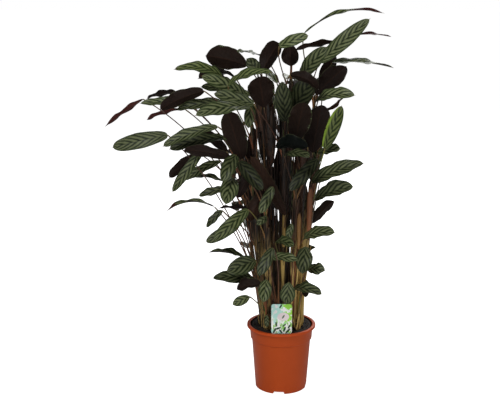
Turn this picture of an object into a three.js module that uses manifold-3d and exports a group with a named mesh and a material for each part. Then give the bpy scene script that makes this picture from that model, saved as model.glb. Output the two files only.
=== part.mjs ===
// A tall clump of patterned prayer-plant stems in a terracotta-coloured nursery pot.
// Millimetres, +Z up. The origin is the centre of the pot's base, and the viewer's side is -Y.
import * as THREE from 'three';
import { mergeVertices } from 'three/addons/utils/BufferGeometryUtils.js';
import Module from 'manifold-3d';

const wasm = await Module();
wasm.setup();

// Pot
const POT_HEIGHT = 203;
const RIM_RADIUS = 105;
const RIM_DROP = 7;
const COLLAR_RADIUS = 97;
const COLLAR_FOOT = 160;
const COLLAR_FOOT_RADIUS = 94;
const BODY_TOP_RADIUS = 90;
const BODY_FOOT_RADIUS = 78.5;
const WALL = 2.4;
const ROUNDING = 1.5;
const FLOOR_HEIGHT = 8;
const HUB_RADIUS = 22;
const FOOT_WIDTH = 3;
const POT_SIDES = 24;
const NOTCH_COUNT = 4;
const NOTCH_WIDTH = 38;
const NOTCH_TOP_WIDTH = 28;
const NOTCH_TURN = -96;
const DRAIN_COUNT = 8;
const DRAIN_RADIUS = 6;
const DRAIN_CIRCLE = 48;
const DRAIN_SIDES = 8;
const CUTTER_REACH = 30;

// Soil
const GAP = 0.3;
const SOIL_EDGE = 191;
const SOIL_BEVEL = 6;
const SOIL_PLATEAU = 45;
const SOIL = 195;
const SOIL_MIDDLE = 196;
const SOCKET_DEPTH = 45;
const LEAN_FROM = SOIL + 8;

// Plant tag
const TAG_WIDTH = 62;
const TAG_TOP = 292;
const TAG_SHOULDER = 198;
const TAG_STAKE_WIDTH = 24;
const TAG_STAKE_FOOT = 140;
const TAG_THICKNESS = 0.8;
const TAG_CORNER = 7;
const TAG_CENTRE_X = -1;
const TAG_Y = -80;

// Stems and leaves
const CANE_RADIUS = 6.5;
const CANE_TAPER = 0.25;
const CANE_SIDES = 5;
const CANE_LEAN = 1.4;
const SPIKE_LENGTH = 55;
const SPIKE_RADIUS = 1.2;
const TUFT_TOP = 300;
const INTERNODE = 200;
const MOUTH_LENGTH = 7;
const SHEATH_FLARE = 0.16;
const CROWN_RADIUS = 9;
const CROWN_LENGTH = 230;
const SHEATH_RADIUS = 3.4;
const SHEATH_FULL = 0.05;
const SHEATH_END = 0.42;
const PETIOLE_RADIUS = 1.7;
const PETIOLE_STEP = 170;
const PETIOLE_END = 0.85;
const ROOT_DROP = 50;
const ROOT_DROP_PER_REACH = 1.3;
const ROOT_ABOVE_SOIL = 30;
const ROOT_BELOW_TOP = 5;
const START_LEAN = 0.5;
const START_PULL = 0.38;
const FINISH_TURN = 0.3;
const FINISH_PULL = 0.25;
const BLADE_STATIONS = [0, 0.14, 0.5, 0.84, 1];
const BROAD_LEAF = 40;
const OUTLINE_SHIFT = 1.15;
const OUTLINE_FULLNESS = 0.4;
const TIP_TAPER = 0.25;
const TIP_SHARPNESS = 12;
const BLADE_THICKNESS = 1.2;
const BLADE_FOLD = THREE.MathUtils.degToRad(18);
const EDGE_WAVE = 3.2;
const WAVES = 2.3;
const WAVE_OFFSET = 2;
const WAVE_STARTS = 6;

// Room that each piece keeps round itself
const CANE_ROOM = 10;
const BLADE_ROOM = 5;
const PETIOLE_ROOM = 2.5;
const CELL = 30;
const SAMPLE_STEP = 14;
const SHIFT_STEP = 8;
const SHIFT_COUNT = 16;
const DRAW_START = 2024;

// Leaves on the far side, each as its least value and its spread, in millimetres and degrees
const FILL_TRIES = 200;
const FILL_BASE = 330;
const FILL_HEADROOM = 100;
const FILL_BEARING = [-30, 60];
const FILL_HEADING = [-25, 50];
const FILL_REACH = [55, 75];
const FILL_LENGTH = [120, 60];
const FILL_CLIMB = [-35, 75];
const FILL_WIDTH = [38, 20];
const FILL_ARCH = [0.06, 0.1];

// The outline of the crown as the viewer sees it, which the far leaves stay within
const CROWN_FOOT = 400;
const CROWN_HEIGHT = 590;
const CROWN_LEFT = -95;
const CROWN_RIGHT = 75;
const CROWN_LEFT_SPREAD = 0.28;
const CROWN_RIGHT_SPREAD = 0.12;
const VIEW_DISTANCE = 3500;
const EYE = new THREE.Vector3(-96, -VIEW_DISTANCE, 1497);

// Where a blade's upper face looks
const FACING = {
  up: [0, 0, 1],
  upFront: [0, -0.25, 1],
  front: [0, -1, 0.35],
  frontUp: [0, -1, 1],
  back: [0, 1, 0.35],
  backUp: [0, 1, 1],
  down: [0, 0.3, -1],
};

// Each stem has its foot in the soil, the top of its cane and its leaves, given as
// base, tip, width, facing and arch. lean and crown replace the usual bend and swelling of
// the cane, and fill adds a count of leaves round a bearing.
const STEMS = {
  stem_right_1: {
    foot: [36, -8],
    top: [40, -25, 640],
    leaves: [
      [[70, -100, 775], [-25, -175, 795], 52, 'back', 0.1],
      [[5, -85, 750], [75, -185, 765], 34, 'frontUp', 0.1],
      [[100, -75, 735], [15, -145, 655], 42, 'front', 0.08],
      [[65, -40, 487], [154, -120, 526], 46, 'frontUp', 0.1],
      [[70, -50, 462], [58, -112, 395], 50, 'front', 0.06],
    ],
  },
  stem_right_2: {
    foot: [45, 15],
    top: [62, 0, 800],
    leaves: [
      [[105, -20, 1010], [247, -60, 1142], 48, 'front', 0.05],
      [[55, -35, 975], [122, -100, 1067], 48, 'front', 0.1],
      [[35, -60, 780], [58, -120, 912], 70, 'back', 0.05],
      [[30, -5, 870], [88, -60, 978], 66, 'front', 0.05],
    ],
  },
  stem_right_3: {
    foot: [58, -6],
    top: [92, -30, 600],
    lean: 2.2,
    leaves: [
      [[90, 0, 738], [112, -40, 892], 80, 'back', 0.06],
      [[121, -80, 768], [166, -110, 902], 42, 'front', 0.05],
      [[102, -60, 750], [165, -110, 774], 36, 'frontUp', 0.05],
      [[86, -40, 659], [236, -112, 731], 56, 'frontUp', 0.07],
      [[98, -25, 602], [208, -92, 657], 52, 'frontUp', 0.07],
      [[90, -20, 527], [153, -40, 603], 36, 'back', 0.06],
    ],
  },
  stem_right_4: {
    foot: [62, 18],
    top: [110, 10, 720],
    lean: 2.2,
    leaves: [
      [[142, -10, 1008], [319, -40, 996], 48, 'upFront', 0.05],
      [[95, -20, 915], [182, -60, 1006], 66, 'back', 0.05],
      [[92, -60, 900], [203, -140, 932], 44, 'frontUp', 0.14],
      [[108, 25, 850], [190, 0, 920], 30, 'down', 0.05],
    ],
    fill: [75, 2],
  },
  stem_right_5: {
    foot: [40, 37],
    top: [95, 60, 860],
    leaves: [
      [[62, 40, 1085], [295, 20, 1146], 22, 'upFront', 0.15],
      [[171, 92, 1065], [323, 80, 1071], 20, 'up', 0.07],
      [[115, 60, 925], [152, 30, 1027], 44, 'back', 0.05],
    ],
    fill: [80, 3],
  },
  stem_middle_1: {
    foot: [4, 2],
    top: [2, -35, 760],
    leaves: [
      [[6, -45, 842], [-6, -112, 972], 52, 'front', 0.05],
      [[8, -55, 560], [-96, -150, 762], 40, 'back', 0.05],
      [[-92, -60, 895], [-102, -112, 832], 34, 'front', 0.06],
      [[-20, -55, 478], [34, -135, 488], 34, 'frontUp', 0.1],
    ],
  },
  stem_middle_2: {
    foot: [-14, 26],
    top: [-46, -10, 930],
    crown: 17,
    leaves: [
      [[-62, -40, 982], [-10, -55, 1072], 52, 'back', 0.16],
      [[-104, -5, 998], [-228, -20, 1029], 74, 'back', 0.08],
      [[-56, -68, 885], [-71, -122, 985], 78, 'back', 0.05],
      [[-69, -15, 981], [-107, -22, 1022], 36, 'front', 0.08],
    ],
  },
  stem_middle_3: {
    foot: [14, 29],
    top: [25, 40, 960],
    leaves: [
      [[20, -10, 1062], [20, -30, 998], 52, 'back', 0.05],
      [[38, -5, 1044], [175, -20, 1066], 30, 'backUp', 0.05],
      [[-12, -35, 1058], [72, -60, 1092], 34, 'front', 0.12],
      [[20, -45, 978], [102, -72, 938], 38, 'back', 0.25],
    ],
  },
  stem_middle_4: {
    foot: [-4, 52],
    top: [5, 90, 880],
    leaves: [[[-50, 62, 1012], [-137, 60, 1031], 36, 'up', 0.06]],
    fill: [100, 7],
  },
  stem_middle_5: {
    foot: [26, 55],
    top: [60, 120, 800],
    leaves: [],
    fill: [75, 7],
  },
  stem_left_1: {
    foot: [-54, -8],
    top: [-88, -40, 640],
    lean: 1,
    leaves: [
      [[-120, -50, 730], [-162, -112, 884], 70, 'back', 0.05],
      [[-148, -75, 680], [-166, -172, 622], 54, 'front', 0.06],
      [[-138, -65, 745], [-178, -132, 680], 44, 'front', 0.1],
      [[-150, -60, 733], [-292, -70, 760], 40, 'back', 0.1],
      [[-100, -38, 575], [-192, -50, 580], 30, 'backUp', 0.05],
      [[-54, -130, 657], [-98, -170, 573], 42, 'back', 0.06],
      [[-128, -55, 532], [-228, -82, 484], 36, 'front', 0.08],
    ],
  },
  stem_left_2: {
    foot: [-36, 12],
    top: [-92, -10, 820],
    lean: 1,
    leaves: [
      [[-190, -40, 824], [-352, -60, 768], 38, 'frontUp', 0.08],
      [[-169, -60, 795], [-331, -110, 770], 42, 'frontUp', 0.08],
      [[-110, -48, 918], [-237, -122, 987], 42, 'front', 0.1],
      [[-158, -88, 952], [-33, -192, 1006], 40, 'frontUp', 0.1],
      [[-95, -88, 890], [-252, -192, 884], 44, 'frontUp', 0.1],
    ],
  },
  stem_left_3: {
    foot: [-56, 34],
    top: [-138, 50, 780],
    lean: 1,
    leaves: [
      [[-415, 62, 888], [-533, 60, 803], 24, 'backUp', 0.02],
      [[-275, 12, 879], [-422, 0, 885], 38, 'frontUp', 0.06],
      [[-290, 62, 857], [-407, 60, 824], 24, 'backUp', 0.08],
      [[-170, -18, 890], [-312, -42, 874], 38, 'frontUp', 0.08],
      [[-165, 5, 740], [-248, -12, 807], 36, 'back', 0.1],
      [[-178, 30, 643], [-284, 30, 652], 32, 'upFront', 0.1],
      [[-232, -30, 758], [-327, -52, 628], 32, 'front', 0.08],
    ],
    fill: [110, 3],
  },
  stem_left_4: {
    foot: [-32, 41],
    top: [-70, 30, 930],
    crown: 14,
    leaves: [
      [[-318, 80, 906], [-407, 90, 884], 34, 'backUp', 0.08],
      [[-229, -50, 931], [-357, -75, 880], 48, 'back', 0.1],
      [[-176, -60, 973], [-314, -90, 998], 40, 'frontUp', 0.2],
      [[-95, -18, 912], [-242, -42, 941], 36, 'frontUp', 0.08],
      [[-85, -45, 892], [-203, -62, 926], 40, 'front', 0.08],
    ],
    fill: [105, 4],
  },
  stem_left_5: {
    foot: [-30, -22],
    top: [-50, -70, 560],
    lean: 1,
    leaves: [
      [[-128, -85, 730], [-58, -142, 656], 42, 'front', 0.08],
      [[-96, -70, 690], [-133, -80, 618], 36, 'back', 0.06],
      [[-102, -108, 592], [-203, -184, 518], 42, 'front', 0.06],
      [[-29, -62, 649], [-67, -92, 575], 32, 'front', 0.06],
      [[-46, -80, 562], [-78, -105, 545], 22, 'front', 0.08],
    ],
  },
  stem_back_1: {
    foot: [-20, 71],
    top: [-40, 170, 760],
    leaves: [
      [[-41, 100, 656], [-59, 120, 449], 37, 'back', 0.05],
      [[-34, 110, 443], [-39, 110, 279], 37, 'front', 0.05],
    ],
    fill: [105, 5],
  },
  stem_back_2: {
    foot: [10, 74],
    top: [30, 190, 840],
    leaves: [
      [[-4, 120, 727], [-15, 140, 518], 39, 'back', 0.05],
      [[33, 130, 687], [30, 150, 483], 39, 'front', 0.05],
    ],
    fill: [85, 5],
  },
  stem_back_3: {
    foot: [-44, 58],
    top: [-110, 140, 640],
    leaves: [
      [[-250, 62, 722], [-342, 50, 648], 38, 'back', 0.08],
      [[-185, 42, 702], [-292, 20, 648], 32, 'frontUp', 0.1],
      [[-84, 110, 791], [-99, 120, 626], 37, 'back', 0.05],
    ],
    fill: [115, 4],
  },
  stem_back_4: {
    foot: [62, 42],
    top: [100, 140, 660],
    leaves: [
      [[73, 100, 615], [63, 110, 426], 34, 'front', 0.05],
    ],
    fill: [70, 4],
  },
  tuft_left: {
    foot: [-59, 13],
    top: [-63, 12, 250],
    leaves: [
      [[-338, -10, 793], [-506, -10, 755], 50, 'front', 0.05],
      [[-170, -38, 636], [-248, -52, 618], 30, 'frontUp', 0.08],
      [[-202, -20, 577], [-347, -30, 564], 32, 'up', 0.16],
      [[-112, -20, 418], [-222, -30, 438], 34, 'upFront', 0.08],
    ],
  },
  tuft_front_left: {
    foot: [-44, -36],
    top: [-48, -40, 235],
    leaves: [
      [[-180, 10, 558], [-228, 0, 507], 26, 'frontUp', 0.08],
      [[-80, -28, 412], [-168, -92, 396], 54, 'front', 0.08],
      [[-78, -38, 349], [-210, -112, 383], 46, 'frontUp', 0.12],
      [[-60, -88, 357], [-137, -112, 349], 42, 'back', 0.1],
      [[-97, -68, 311], [-150, -82, 291], 30, 'front', 0.06],
    ],
  },
  tuft_front: {
    foot: [-8, -42],
    top: [-10, -46, 230],
    leaves: [
      [[-32, -38, 424], [48, -112, 436], 34, 'frontUp', 0.1],
      [[-28, -78, 466], [-73, -122, 392], 36, 'front', 0.06],
      [[-48, -58, 362], [-56, -112, 306], 40, 'front', 0.08],
      [[-45, -60, 250], [-46, -70, 214], 16, 'front', 0.05],
    ],
  },
  tuft_front_right: {
    foot: [22, -34],
    top: [24, -38, 230],
    leaves: [
      [[36, -48, 328], [118, -127, 338], 38, 'frontUp', 0.14],
      [[20, -66, 356], [14, -72, 288], 46, 'front', 0.05],
      [[29, -50, 533], [14, -62, 487], 22, 'front', 0.06],
    ],
  },
  tuft_right: {
    foot: [50, -32],
    top: [52, -34, 250],
    leaves: [
      [[78, -30, 386], [130, -60, 390], 40, 'frontUp', 0.1],
      [[76, 10, 338], [74, 0, 284], 24, 'back', 0.06],
    ],
  },
  tuft_back: {
    foot: [42, 60],
    top: [44, 64, 235],
    leaves: [[[60, 60, 411], [106, 35, 434], 28, 'frontUp', 0.08]],
    fill: [90, 4],
  },
};

const POT_MATERIAL = new THREE.MeshStandardMaterial({ color: 0x9c4526, roughness: 0.5, metalness: 0 });
const SOIL_MATERIAL = new THREE.MeshStandardMaterial({ color: 0x1d1613, roughness: 0.95, metalness: 0 });
const TAG_MATERIAL = new THREE.MeshStandardMaterial({ color: 0xc9d8b4, roughness: 0.4, metalness: 0 });
const LEAF_MATERIAL = new THREE.MeshStandardMaterial({ color: 0x4c5b3d, roughness: 0.45, metalness: 0 });

const UP = new THREE.Vector3(0, 0, 1);
const group = new THREE.Group();

function addMesh(name, geometry, material) {
  const mesh = new THREE.Mesh(geometry, material);
  mesh.name = name;
  group.add(mesh);
}

// Solids for joining and cutting
function toSolid(geometry) {
  const bare = geometry.clone();
  bare.deleteAttribute('normal');
  bare.deleteAttribute('uv');
  const merged = mergeVertices(bare, 1e-4);
  const mesh = new wasm.Mesh({
    numProp: 3,
    vertProperties: new Float32Array(merged.attributes.position.array),
    triVerts: new Uint32Array(merged.index.array),
  });
  return new wasm.Manifold(mesh);
}

function toGeometry(solid) {
  const mesh = solid.getMesh();
  const geometry = new THREE.BufferGeometry();
  geometry.setAttribute('position', new THREE.BufferAttribute(mesh.vertProperties, 3));
  geometry.setIndex(new THREE.BufferAttribute(mesh.triVerts, 1));
  geometry.computeVertexNormals();
  return geometry;
}

// The same draws in any language: every product stays a whole number
function makeDraw(start) {
  let state = start;
  return () => {
    state = (state * 16807) % 2147483647;
    return state / 2147483647;
  };
}

// Pot

function lathe(points) {
  const profile = points.map(([radius, height]) => new THREE.Vector2(radius, height));
  const geometry = new THREE.LatheGeometry(profile, POT_SIDES);
  geometry.rotateX(Math.PI / 2);
  return geometry;
}

function bodyRadius(height) {
  return BODY_FOOT_RADIUS + ((BODY_TOP_RADIUS - BODY_FOOT_RADIUS) * height) / COLLAR_FOOT;
}

function potSolid() {
  const foot = BODY_FOOT_RADIUS - ROUNDING;
  const floorTop = FLOOR_HEIGHT + WALL;
  let solid = toSolid(lathe([
    [0, 0],
    [HUB_RADIUS, 0],
    [HUB_RADIUS + ROUNDING, FLOOR_HEIGHT],
    [foot - FOOT_WIDTH - ROUNDING, FLOOR_HEIGHT],
    [foot - FOOT_WIDTH, 0],
    [foot, 0],
    [bodyRadius(ROUNDING), ROUNDING],
    [BODY_TOP_RADIUS, COLLAR_FOOT - WALL],
    [COLLAR_FOOT_RADIUS, COLLAR_FOOT],
    [COLLAR_RADIUS, POT_HEIGHT - WALL],
    [RIM_RADIUS - WALL, POT_HEIGHT - WALL],
    [RIM_RADIUS - WALL, POT_HEIGHT - RIM_DROP],
    [RIM_RADIUS, POT_HEIGHT - RIM_DROP],
    [RIM_RADIUS, POT_HEIGHT - ROUNDING],
    [RIM_RADIUS - ROUNDING, POT_HEIGHT],
    [COLLAR_RADIUS - WALL + ROUNDING, POT_HEIGHT],
    [COLLAR_RADIUS - WALL, POT_HEIGHT - ROUNDING],
    [COLLAR_FOOT_RADIUS - WALL, COLLAR_FOOT + WALL],
    [BODY_TOP_RADIUS - WALL, COLLAR_FOOT],
    [bodyRadius(floorTop) - WALL, floorTop],
    [HUB_RADIUS, floorTop],
    [HUB_RADIUS - WALL, WALL],
    [0, WALL],
  ]));
  for (let k = 0; k < NOTCH_COUNT; k += 1) {
    solid = solid.subtract(notchCutter(NOTCH_TURN + (k * 360) / NOTCH_COUNT));
  }
  for (let k = 0; k < DRAIN_COUNT; k += 1) {
    solid = solid.subtract(drainCutter(((k + 0.5) * 360) / DRAIN_COUNT));
  }
  return solid;
}

// Each notch in the standing ring is a trapezium, cut through from the outside.
function notchCutter(turn) {
  const outline = new THREE.Shape();
  outline.moveTo(-NOTCH_WIDTH / 2, -ROUNDING);
  outline.lineTo(NOTCH_WIDTH / 2, -ROUNDING);
  outline.lineTo(NOTCH_TOP_WIDTH / 2, FLOOR_HEIGHT);
  outline.lineTo(-NOTCH_TOP_WIDTH / 2, FLOOR_HEIGHT);
  const geometry = new THREE.ExtrudeGeometry(outline, { depth: CUTTER_REACH, bevelEnabled: false });
  geometry.rotateX(Math.PI / 2);
  geometry.rotateZ(Math.PI / 2);
  geometry.translate(BODY_FOOT_RADIUS - CUTTER_REACH / 2, 0, 0);
  geometry.rotateZ(THREE.MathUtils.degToRad(turn));
  return toSolid(geometry);
}

function drainCutter(turn) {
  const geometry = new THREE.CylinderGeometry(DRAIN_RADIUS, DRAIN_RADIUS, CUTTER_REACH, DRAIN_SIDES);
  geometry.rotateX(Math.PI / 2);
  geometry.translate(DRAIN_CIRCLE, 0, FLOOR_HEIGHT);
  geometry.rotateZ(THREE.MathUtils.degToRad(turn));
  return toSolid(geometry);
}

// Soil

function soilSolid() {
  const floor = FLOOR_HEIGHT + WALL + GAP;
  const inside = WALL + GAP * 2;
  let solid = toSolid(lathe([
    [0, WALL + GAP],
    [HUB_RADIUS - inside, WALL + GAP],
    [HUB_RADIUS - GAP * 2, floor],
    [bodyRadius(floor) - inside, floor],
    [BODY_TOP_RADIUS - inside, COLLAR_FOOT],
    [COLLAR_FOOT_RADIUS - inside, COLLAR_FOOT + inside],
    [COLLAR_FOOT_RADIUS - inside, SOIL_EDGE - SOIL_BEVEL],
    [COLLAR_FOOT_RADIUS - inside - SOIL_BEVEL, SOIL_EDGE],
    [SOIL_PLATEAU, SOIL],
    [0, SOIL_MIDDLE],
  ]));
  for (const stem of Object.values(STEMS)) {
    solid = solid.subtract(socketCutter(stem.foot));
  }
  return solid.subtract(slotCutter());
}

function socketCutter([x, y]) {
  const radius = CANE_RADIUS + GAP / Math.cos(Math.PI / CANE_SIDES);
  const depth = SOCKET_DEPTH + GAP + CUTTER_REACH;
  const geometry = new THREE.CylinderGeometry(radius, radius, depth, CANE_SIDES);
  geometry.rotateX(-Math.PI / 2);
  geometry.translate(x, y, SOIL - SOCKET_DEPTH - GAP + depth / 2);
  return toSolid(geometry);
}

function slotCutter() {
  const depth = SOIL - TAG_STAKE_FOOT + GAP + CUTTER_REACH;
  const geometry = new THREE.BoxGeometry(TAG_STAKE_WIDTH + GAP * 2, TAG_THICKNESS + GAP * 2, depth);
  geometry.translate(TAG_CENTRE_X, TAG_Y, TAG_STAKE_FOOT - GAP + depth / 2);
  return toSolid(geometry);
}

// Plant tag

function tagGeometry() {
  const half = TAG_WIDTH / 2;
  const stake = TAG_STAKE_WIDTH / 2;
  const corner = TAG_CORNER;
  const outline = new THREE.Shape();
  outline.moveTo(-stake, TAG_STAKE_FOOT);
  outline.lineTo(stake, TAG_STAKE_FOOT);
  outline.lineTo(stake, TAG_SHOULDER);
  outline.lineTo(half - corner, TAG_SHOULDER);
  outline.absarc(half - corner, TAG_SHOULDER + corner, corner, -Math.PI / 2, 0);
  outline.lineTo(half, TAG_TOP - corner);
  outline.absarc(half - corner, TAG_TOP - corner, corner, 0, Math.PI / 2);
  outline.lineTo(-half + corner, TAG_TOP);
  outline.absarc(-half + corner, TAG_TOP - corner, corner, Math.PI / 2, Math.PI);
  outline.lineTo(-half, TAG_SHOULDER + corner);
  outline.absarc(-half + corner, TAG_SHOULDER + corner, corner, Math.PI, 1.5 * Math.PI);
  outline.lineTo(-stake, TAG_SHOULDER);
  const geometry = new THREE.ExtrudeGeometry(outline, {
    depth: TAG_THICKNESS,
    bevelEnabled: false,
    curveSegments: 4,
  });
  geometry.rotateX(Math.PI / 2);
  geometry.translate(TAG_CENTRE_X, TAG_Y + TAG_THICKNESS / 2, 0);
  return geometry;
}

// Stems and leaves

// A cane stands upright in the soil and leans out more and more above it.
function caneAxis(stem, height) {
  const [x, y] = stem.foot;
  const [topX, topY, topZ] = stem.top;
  const rise = Math.max(0, (height - LEAN_FROM) / (topZ - LEAN_FROM));
  const lean = rise ** (stem.lean ?? CANE_LEAN);
  return new THREE.Vector3(x + (topX - x) * lean, y + (topY - y) * lean, height);
}

// The cane is wrapped in sheaths, each a little wider at its mouth.
function caneRadius(stem, height) {
  const rise = THREE.MathUtils.clamp((height - SOIL) / (stem.top[2] - SOIL), 0, 1);
  const sheath = (height - SOIL) / INTERNODE;
  const flare = SHEATH_FLARE * (sheath - Math.floor(sheath) - 1);
  return CANE_RADIUS * (1 - CANE_TAPER * rise) * (1 + flare);
}

// Foot, sheath mouths, the swollen crown of sheaths that the upper leaves leave, and a spike
function caneStations(stem) {
  const top = stem.top[2];
  const crown = Math.max(LEAN_FROM + MOUTH_LENGTH, top - CROWN_LENGTH);
  const stations = [[SOIL - SOCKET_DEPTH, CANE_RADIUS], [LEAN_FROM, CANE_RADIUS]];
  for (let mouth = SOIL + INTERNODE; mouth < crown - INTERNODE / 10; mouth += INTERNODE) {
    stations.push([mouth - 1, caneRadius(stem, mouth - 1)]);
    stations.push([mouth + MOUTH_LENGTH, caneRadius(stem, mouth + MOUTH_LENGTH)]);
  }
  if (top > TUFT_TOP) {
    stations.push([crown, caneRadius(stem, crown)]);
    stations.push([(crown + top) / 2, stem.crown ?? CROWN_RADIUS]);
  }
  stations.push([top, CANE_RADIUS * (1 - CANE_TAPER)]);
  stations.push([top + SPIKE_LENGTH, SPIKE_RADIUS]);
  return stations;
}

function caneSolid(stem) {
  const side = new THREE.Vector3(0, 1, 0);
  const normal = new THREE.Vector3(1, 0, 0);
  return loftSolid(caneStations(stem).map(([height, radius]) => (
    ringPoints(caneAxis(stem, height), side, normal, radius, radius, CANE_SIDES)
  )));
}

// A ring of points round a centre, wide along side and deep along normal
function ringPoints(centre, side, normal, wide, deep, count) {
  const points = [];
  for (let i = 0; i < count; i += 1) {
    const angle = Math.PI * (1 - (2 * i + 1) / count);
    const point = centre.clone();
    point.addScaledVector(side, wide * Math.cos(angle));
    point.addScaledVector(normal, deep * Math.sin(angle));
    points.push(point);
  }
  return points;
}

// Rings with the same count of points, skinned into one closed solid. The upper and lower
// halves of a ring are split into triangles alike, so that a thin blade's faces never cross.
function loftSolid(rings) {
  const count = rings[0].length;
  const triangles = [];
  for (let k = 0; k < rings.length - 1; k += 1) {
    for (let i = 0; i < count; i += 1) {
      const a = k * count + i;
      const b = k * count + ((i + 1) % count);
      const c = b + count;
      const d = a + count;
      if (i < count / 2) triangles.push(a, b, c, a, c, d);
      else triangles.push(a, b, d, b, c, d);
    }
  }
  const last = (rings.length - 1) * count;
  for (let i = 1; i < count - 1; i += 1) {
    triangles.push(0, i + 1, i);
    triangles.push(last, last + i, last + i + 1);
  }
  const geometry = new THREE.BufferGeometry().setFromPoints(rings.flat());
  geometry.setIndex(triangles);
  return toSolid(geometry);
}

// The outline is oblong, fullest beyond its middle, and blunt at its tip.
function bladeOutline(t) {
  const round = Math.max(0, Math.sin(Math.PI * t ** OUTLINE_SHIFT)) ** OUTLINE_FULLNESS;
  return round * (1 - TIP_TAPER * t ** TIP_SHARPNESS);
}

// A blade's midrib bows from base to tip, its halves fold up along it and its edges wave.
function bladeSurface(leaf) {
  const chord = leaf.tip.clone().sub(leaf.base);
  const length = chord.length();
  const along = chord.divideScalar(length);
  const facing = new THREE.Vector3(...FACING[leaf.facing]);
  const up = facing.addScaledVector(along, -facing.dot(along)).normalize();
  const side = along.clone().cross(up);
  return (t, s) => {
    const half = Math.max(PETIOLE_RADIUS - t, (leaf.width / 2) * bladeOutline(t));
    const phase = leaf.phase + (s > 0 ? WAVE_OFFSET : 0);
    const wave = EDGE_WAVE * s * s * bladeOutline(t) * Math.sin(2 * Math.PI * WAVES * t + phase);
    const lift = half * Math.abs(s) * Math.sin(BLADE_FOLD) + wave;
    const slope = 4 * leaf.arch * (1 - 2 * t);
    const normal = up.clone().addScaledVector(along, -slope).normalize();
    const point = leaf.base.clone();
    point.addScaledVector(along, length * t);
    point.addScaledVector(up, 4 * leaf.arch * length * t * (1 - t));
    point.addScaledVector(side, half * s * Math.cos(BLADE_FOLD));
    point.addScaledVector(normal, lift);
    return { point, normal, side };
  };
}

// A broad blade has a groove along its midrib, and a narrow one is flat across.
function bladeRing(leaf, surface, t) {
  const ring = [];
  for (const face of [1, -1]) {
    for (const s of leaf.width > BROAD_LEAF ? [-face, 0, face] : [-face, face]) {
      const { point, normal } = surface(t, s);
      ring.push(point.addScaledVector(normal, (face * BLADE_THICKNESS) / 2));
    }
  }
  return ring;
}

// A petiole leaves its cane steeply and swings out to the blade's base.
function petiolePath(stem, leaf) {
  const top = stem.top[2];
  const cane = caneAxis(stem, Math.min(leaf.base.z, top));
  const reach = Math.hypot(leaf.base.x - cane.x, leaf.base.y - cane.y);
  const height = leaf.base.z - ROOT_DROP - ROOT_DROP_PER_REACH * reach;
  const root = caneAxis(stem, THREE.MathUtils.clamp(height, SOIL + ROOT_ABOVE_SOIL, top - ROOT_BELOW_TOP));
  const span = leaf.base.distanceTo(root);
  const direct = leaf.base.clone().sub(root).divideScalar(span);
  const along = leaf.tip.clone().sub(leaf.base).normalize();
  const start = direct.clone().multiplyScalar(START_LEAN).add(UP).normalize();
  const finish = direct.clone().lerp(along, FINISH_TURN).normalize();
  const first = root.clone().addScaledVector(start, START_PULL * span);
  const second = leaf.base.clone().addScaledVector(finish, -FINISH_PULL * span);
  return new THREE.CubicBezierCurve3(root, first, second, leaf.base);
}

// Its lower part is a broad sheath that narrows to the stalk.
function petioleRadius(u) {
  const sheath = 1 - THREE.MathUtils.smoothstep(u, SHEATH_FULL, SHEATH_END);
  return PETIOLE_RADIUS + (SHEATH_RADIUS - PETIOLE_RADIUS) * sheath;
}

// The stalk's rings turn as little as they can on the way down from the blade.
function petioleRings(stem, leaf, surface) {
  const path = petiolePath(stem, leaf);
  const { normal, side } = surface(0, 0);
  const span = leaf.base.distanceTo(path.v0);
  const count = THREE.MathUtils.clamp(Math.ceil(span / PETIOLE_STEP), 1, 4);
  let tangent = side.clone().cross(normal).negate();
  const rings = [];
  for (let k = count; k >= 0; k -= 1) {
    const u = (PETIOLE_END * k) / count;
    const next = path.getTangent(u);
    const turn = new THREE.Quaternion().setFromUnitVectors(tangent, next);
    side.applyQuaternion(turn);
    normal.applyQuaternion(turn);
    tangent = next;
    const radius = petioleRadius(u);
    const corners = leaf.width > BROAD_LEAF ? 6 : 4;
    rings.unshift(ringPoints(path.getPoint(u), side, normal, radius, radius, corners));
  }
  return rings;
}

// Stalk and blade are one skin.
function leafSolid(stem, leaf) {
  const surface = bladeSurface(leaf);
  const blade = BLADE_STATIONS.map((t) => bladeRing(leaf, surface, t));
  return loftSolid([...petioleRings(stem, leaf, surface), ...blade]);
}

// Keeping pieces clear of each other

const taken = new Map();

function cellOf(point, dx, dy, dz) {
  const x = Math.floor(point.x / CELL) + dx;
  const y = Math.floor(point.y / CELL) + dy;
  const z = Math.floor(point.z / CELL) + dz;
  return `${x},${y},${z}`;
}

function take(samples) {
  for (const sample of samples) {
    const key = cellOf(sample.point, 0, 0, 0);
    if (!taken.has(key)) taken.set(key, []);
    taken.get(key).push(sample);
  }
}

function mayTouch(a, b) {
  return a.stem === b.stem && a.kind === 'petiole' && b.kind !== 'blade';
}

function isClear(samples) {
  for (const sample of samples) {
    for (let dx = -1; dx <= 1; dx += 1) {
      for (let dy = -1; dy <= 1; dy += 1) {
        for (let dz = -1; dz <= 1; dz += 1) {
          for (const other of taken.get(cellOf(sample.point, dx, dy, dz)) ?? []) {
            const room = sample.room + other.room;
            const near = sample.point.distanceToSquared(other.point) < room * room;
            if (near && !mayTouch(sample, other)) return false;
          }
        }
      }
    }
  }
  return true;
}

function caneSamples(name, stem) {
  const samples = [];
  for (let height = SOIL; height < stem.top[2] + SPIKE_LENGTH; height += SAMPLE_STEP / 2) {
    samples.push({ point: caneAxis(stem, height), room: CANE_ROOM, stem: name, kind: 'cane' });
  }
  return samples;
}

function tagSamples() {
  const samples = [];
  for (let x = -TAG_WIDTH / 2; x <= TAG_WIDTH / 2; x += SAMPLE_STEP / 2) {
    for (let z = TAG_SHOULDER; z <= TAG_TOP; z += SAMPLE_STEP / 2) {
      const point = new THREE.Vector3(TAG_CENTRE_X + x, TAG_Y, z);
      samples.push({ point, room: 1, stem: 'tag', kind: 'blade' });
    }
  }
  return samples;
}

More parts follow.
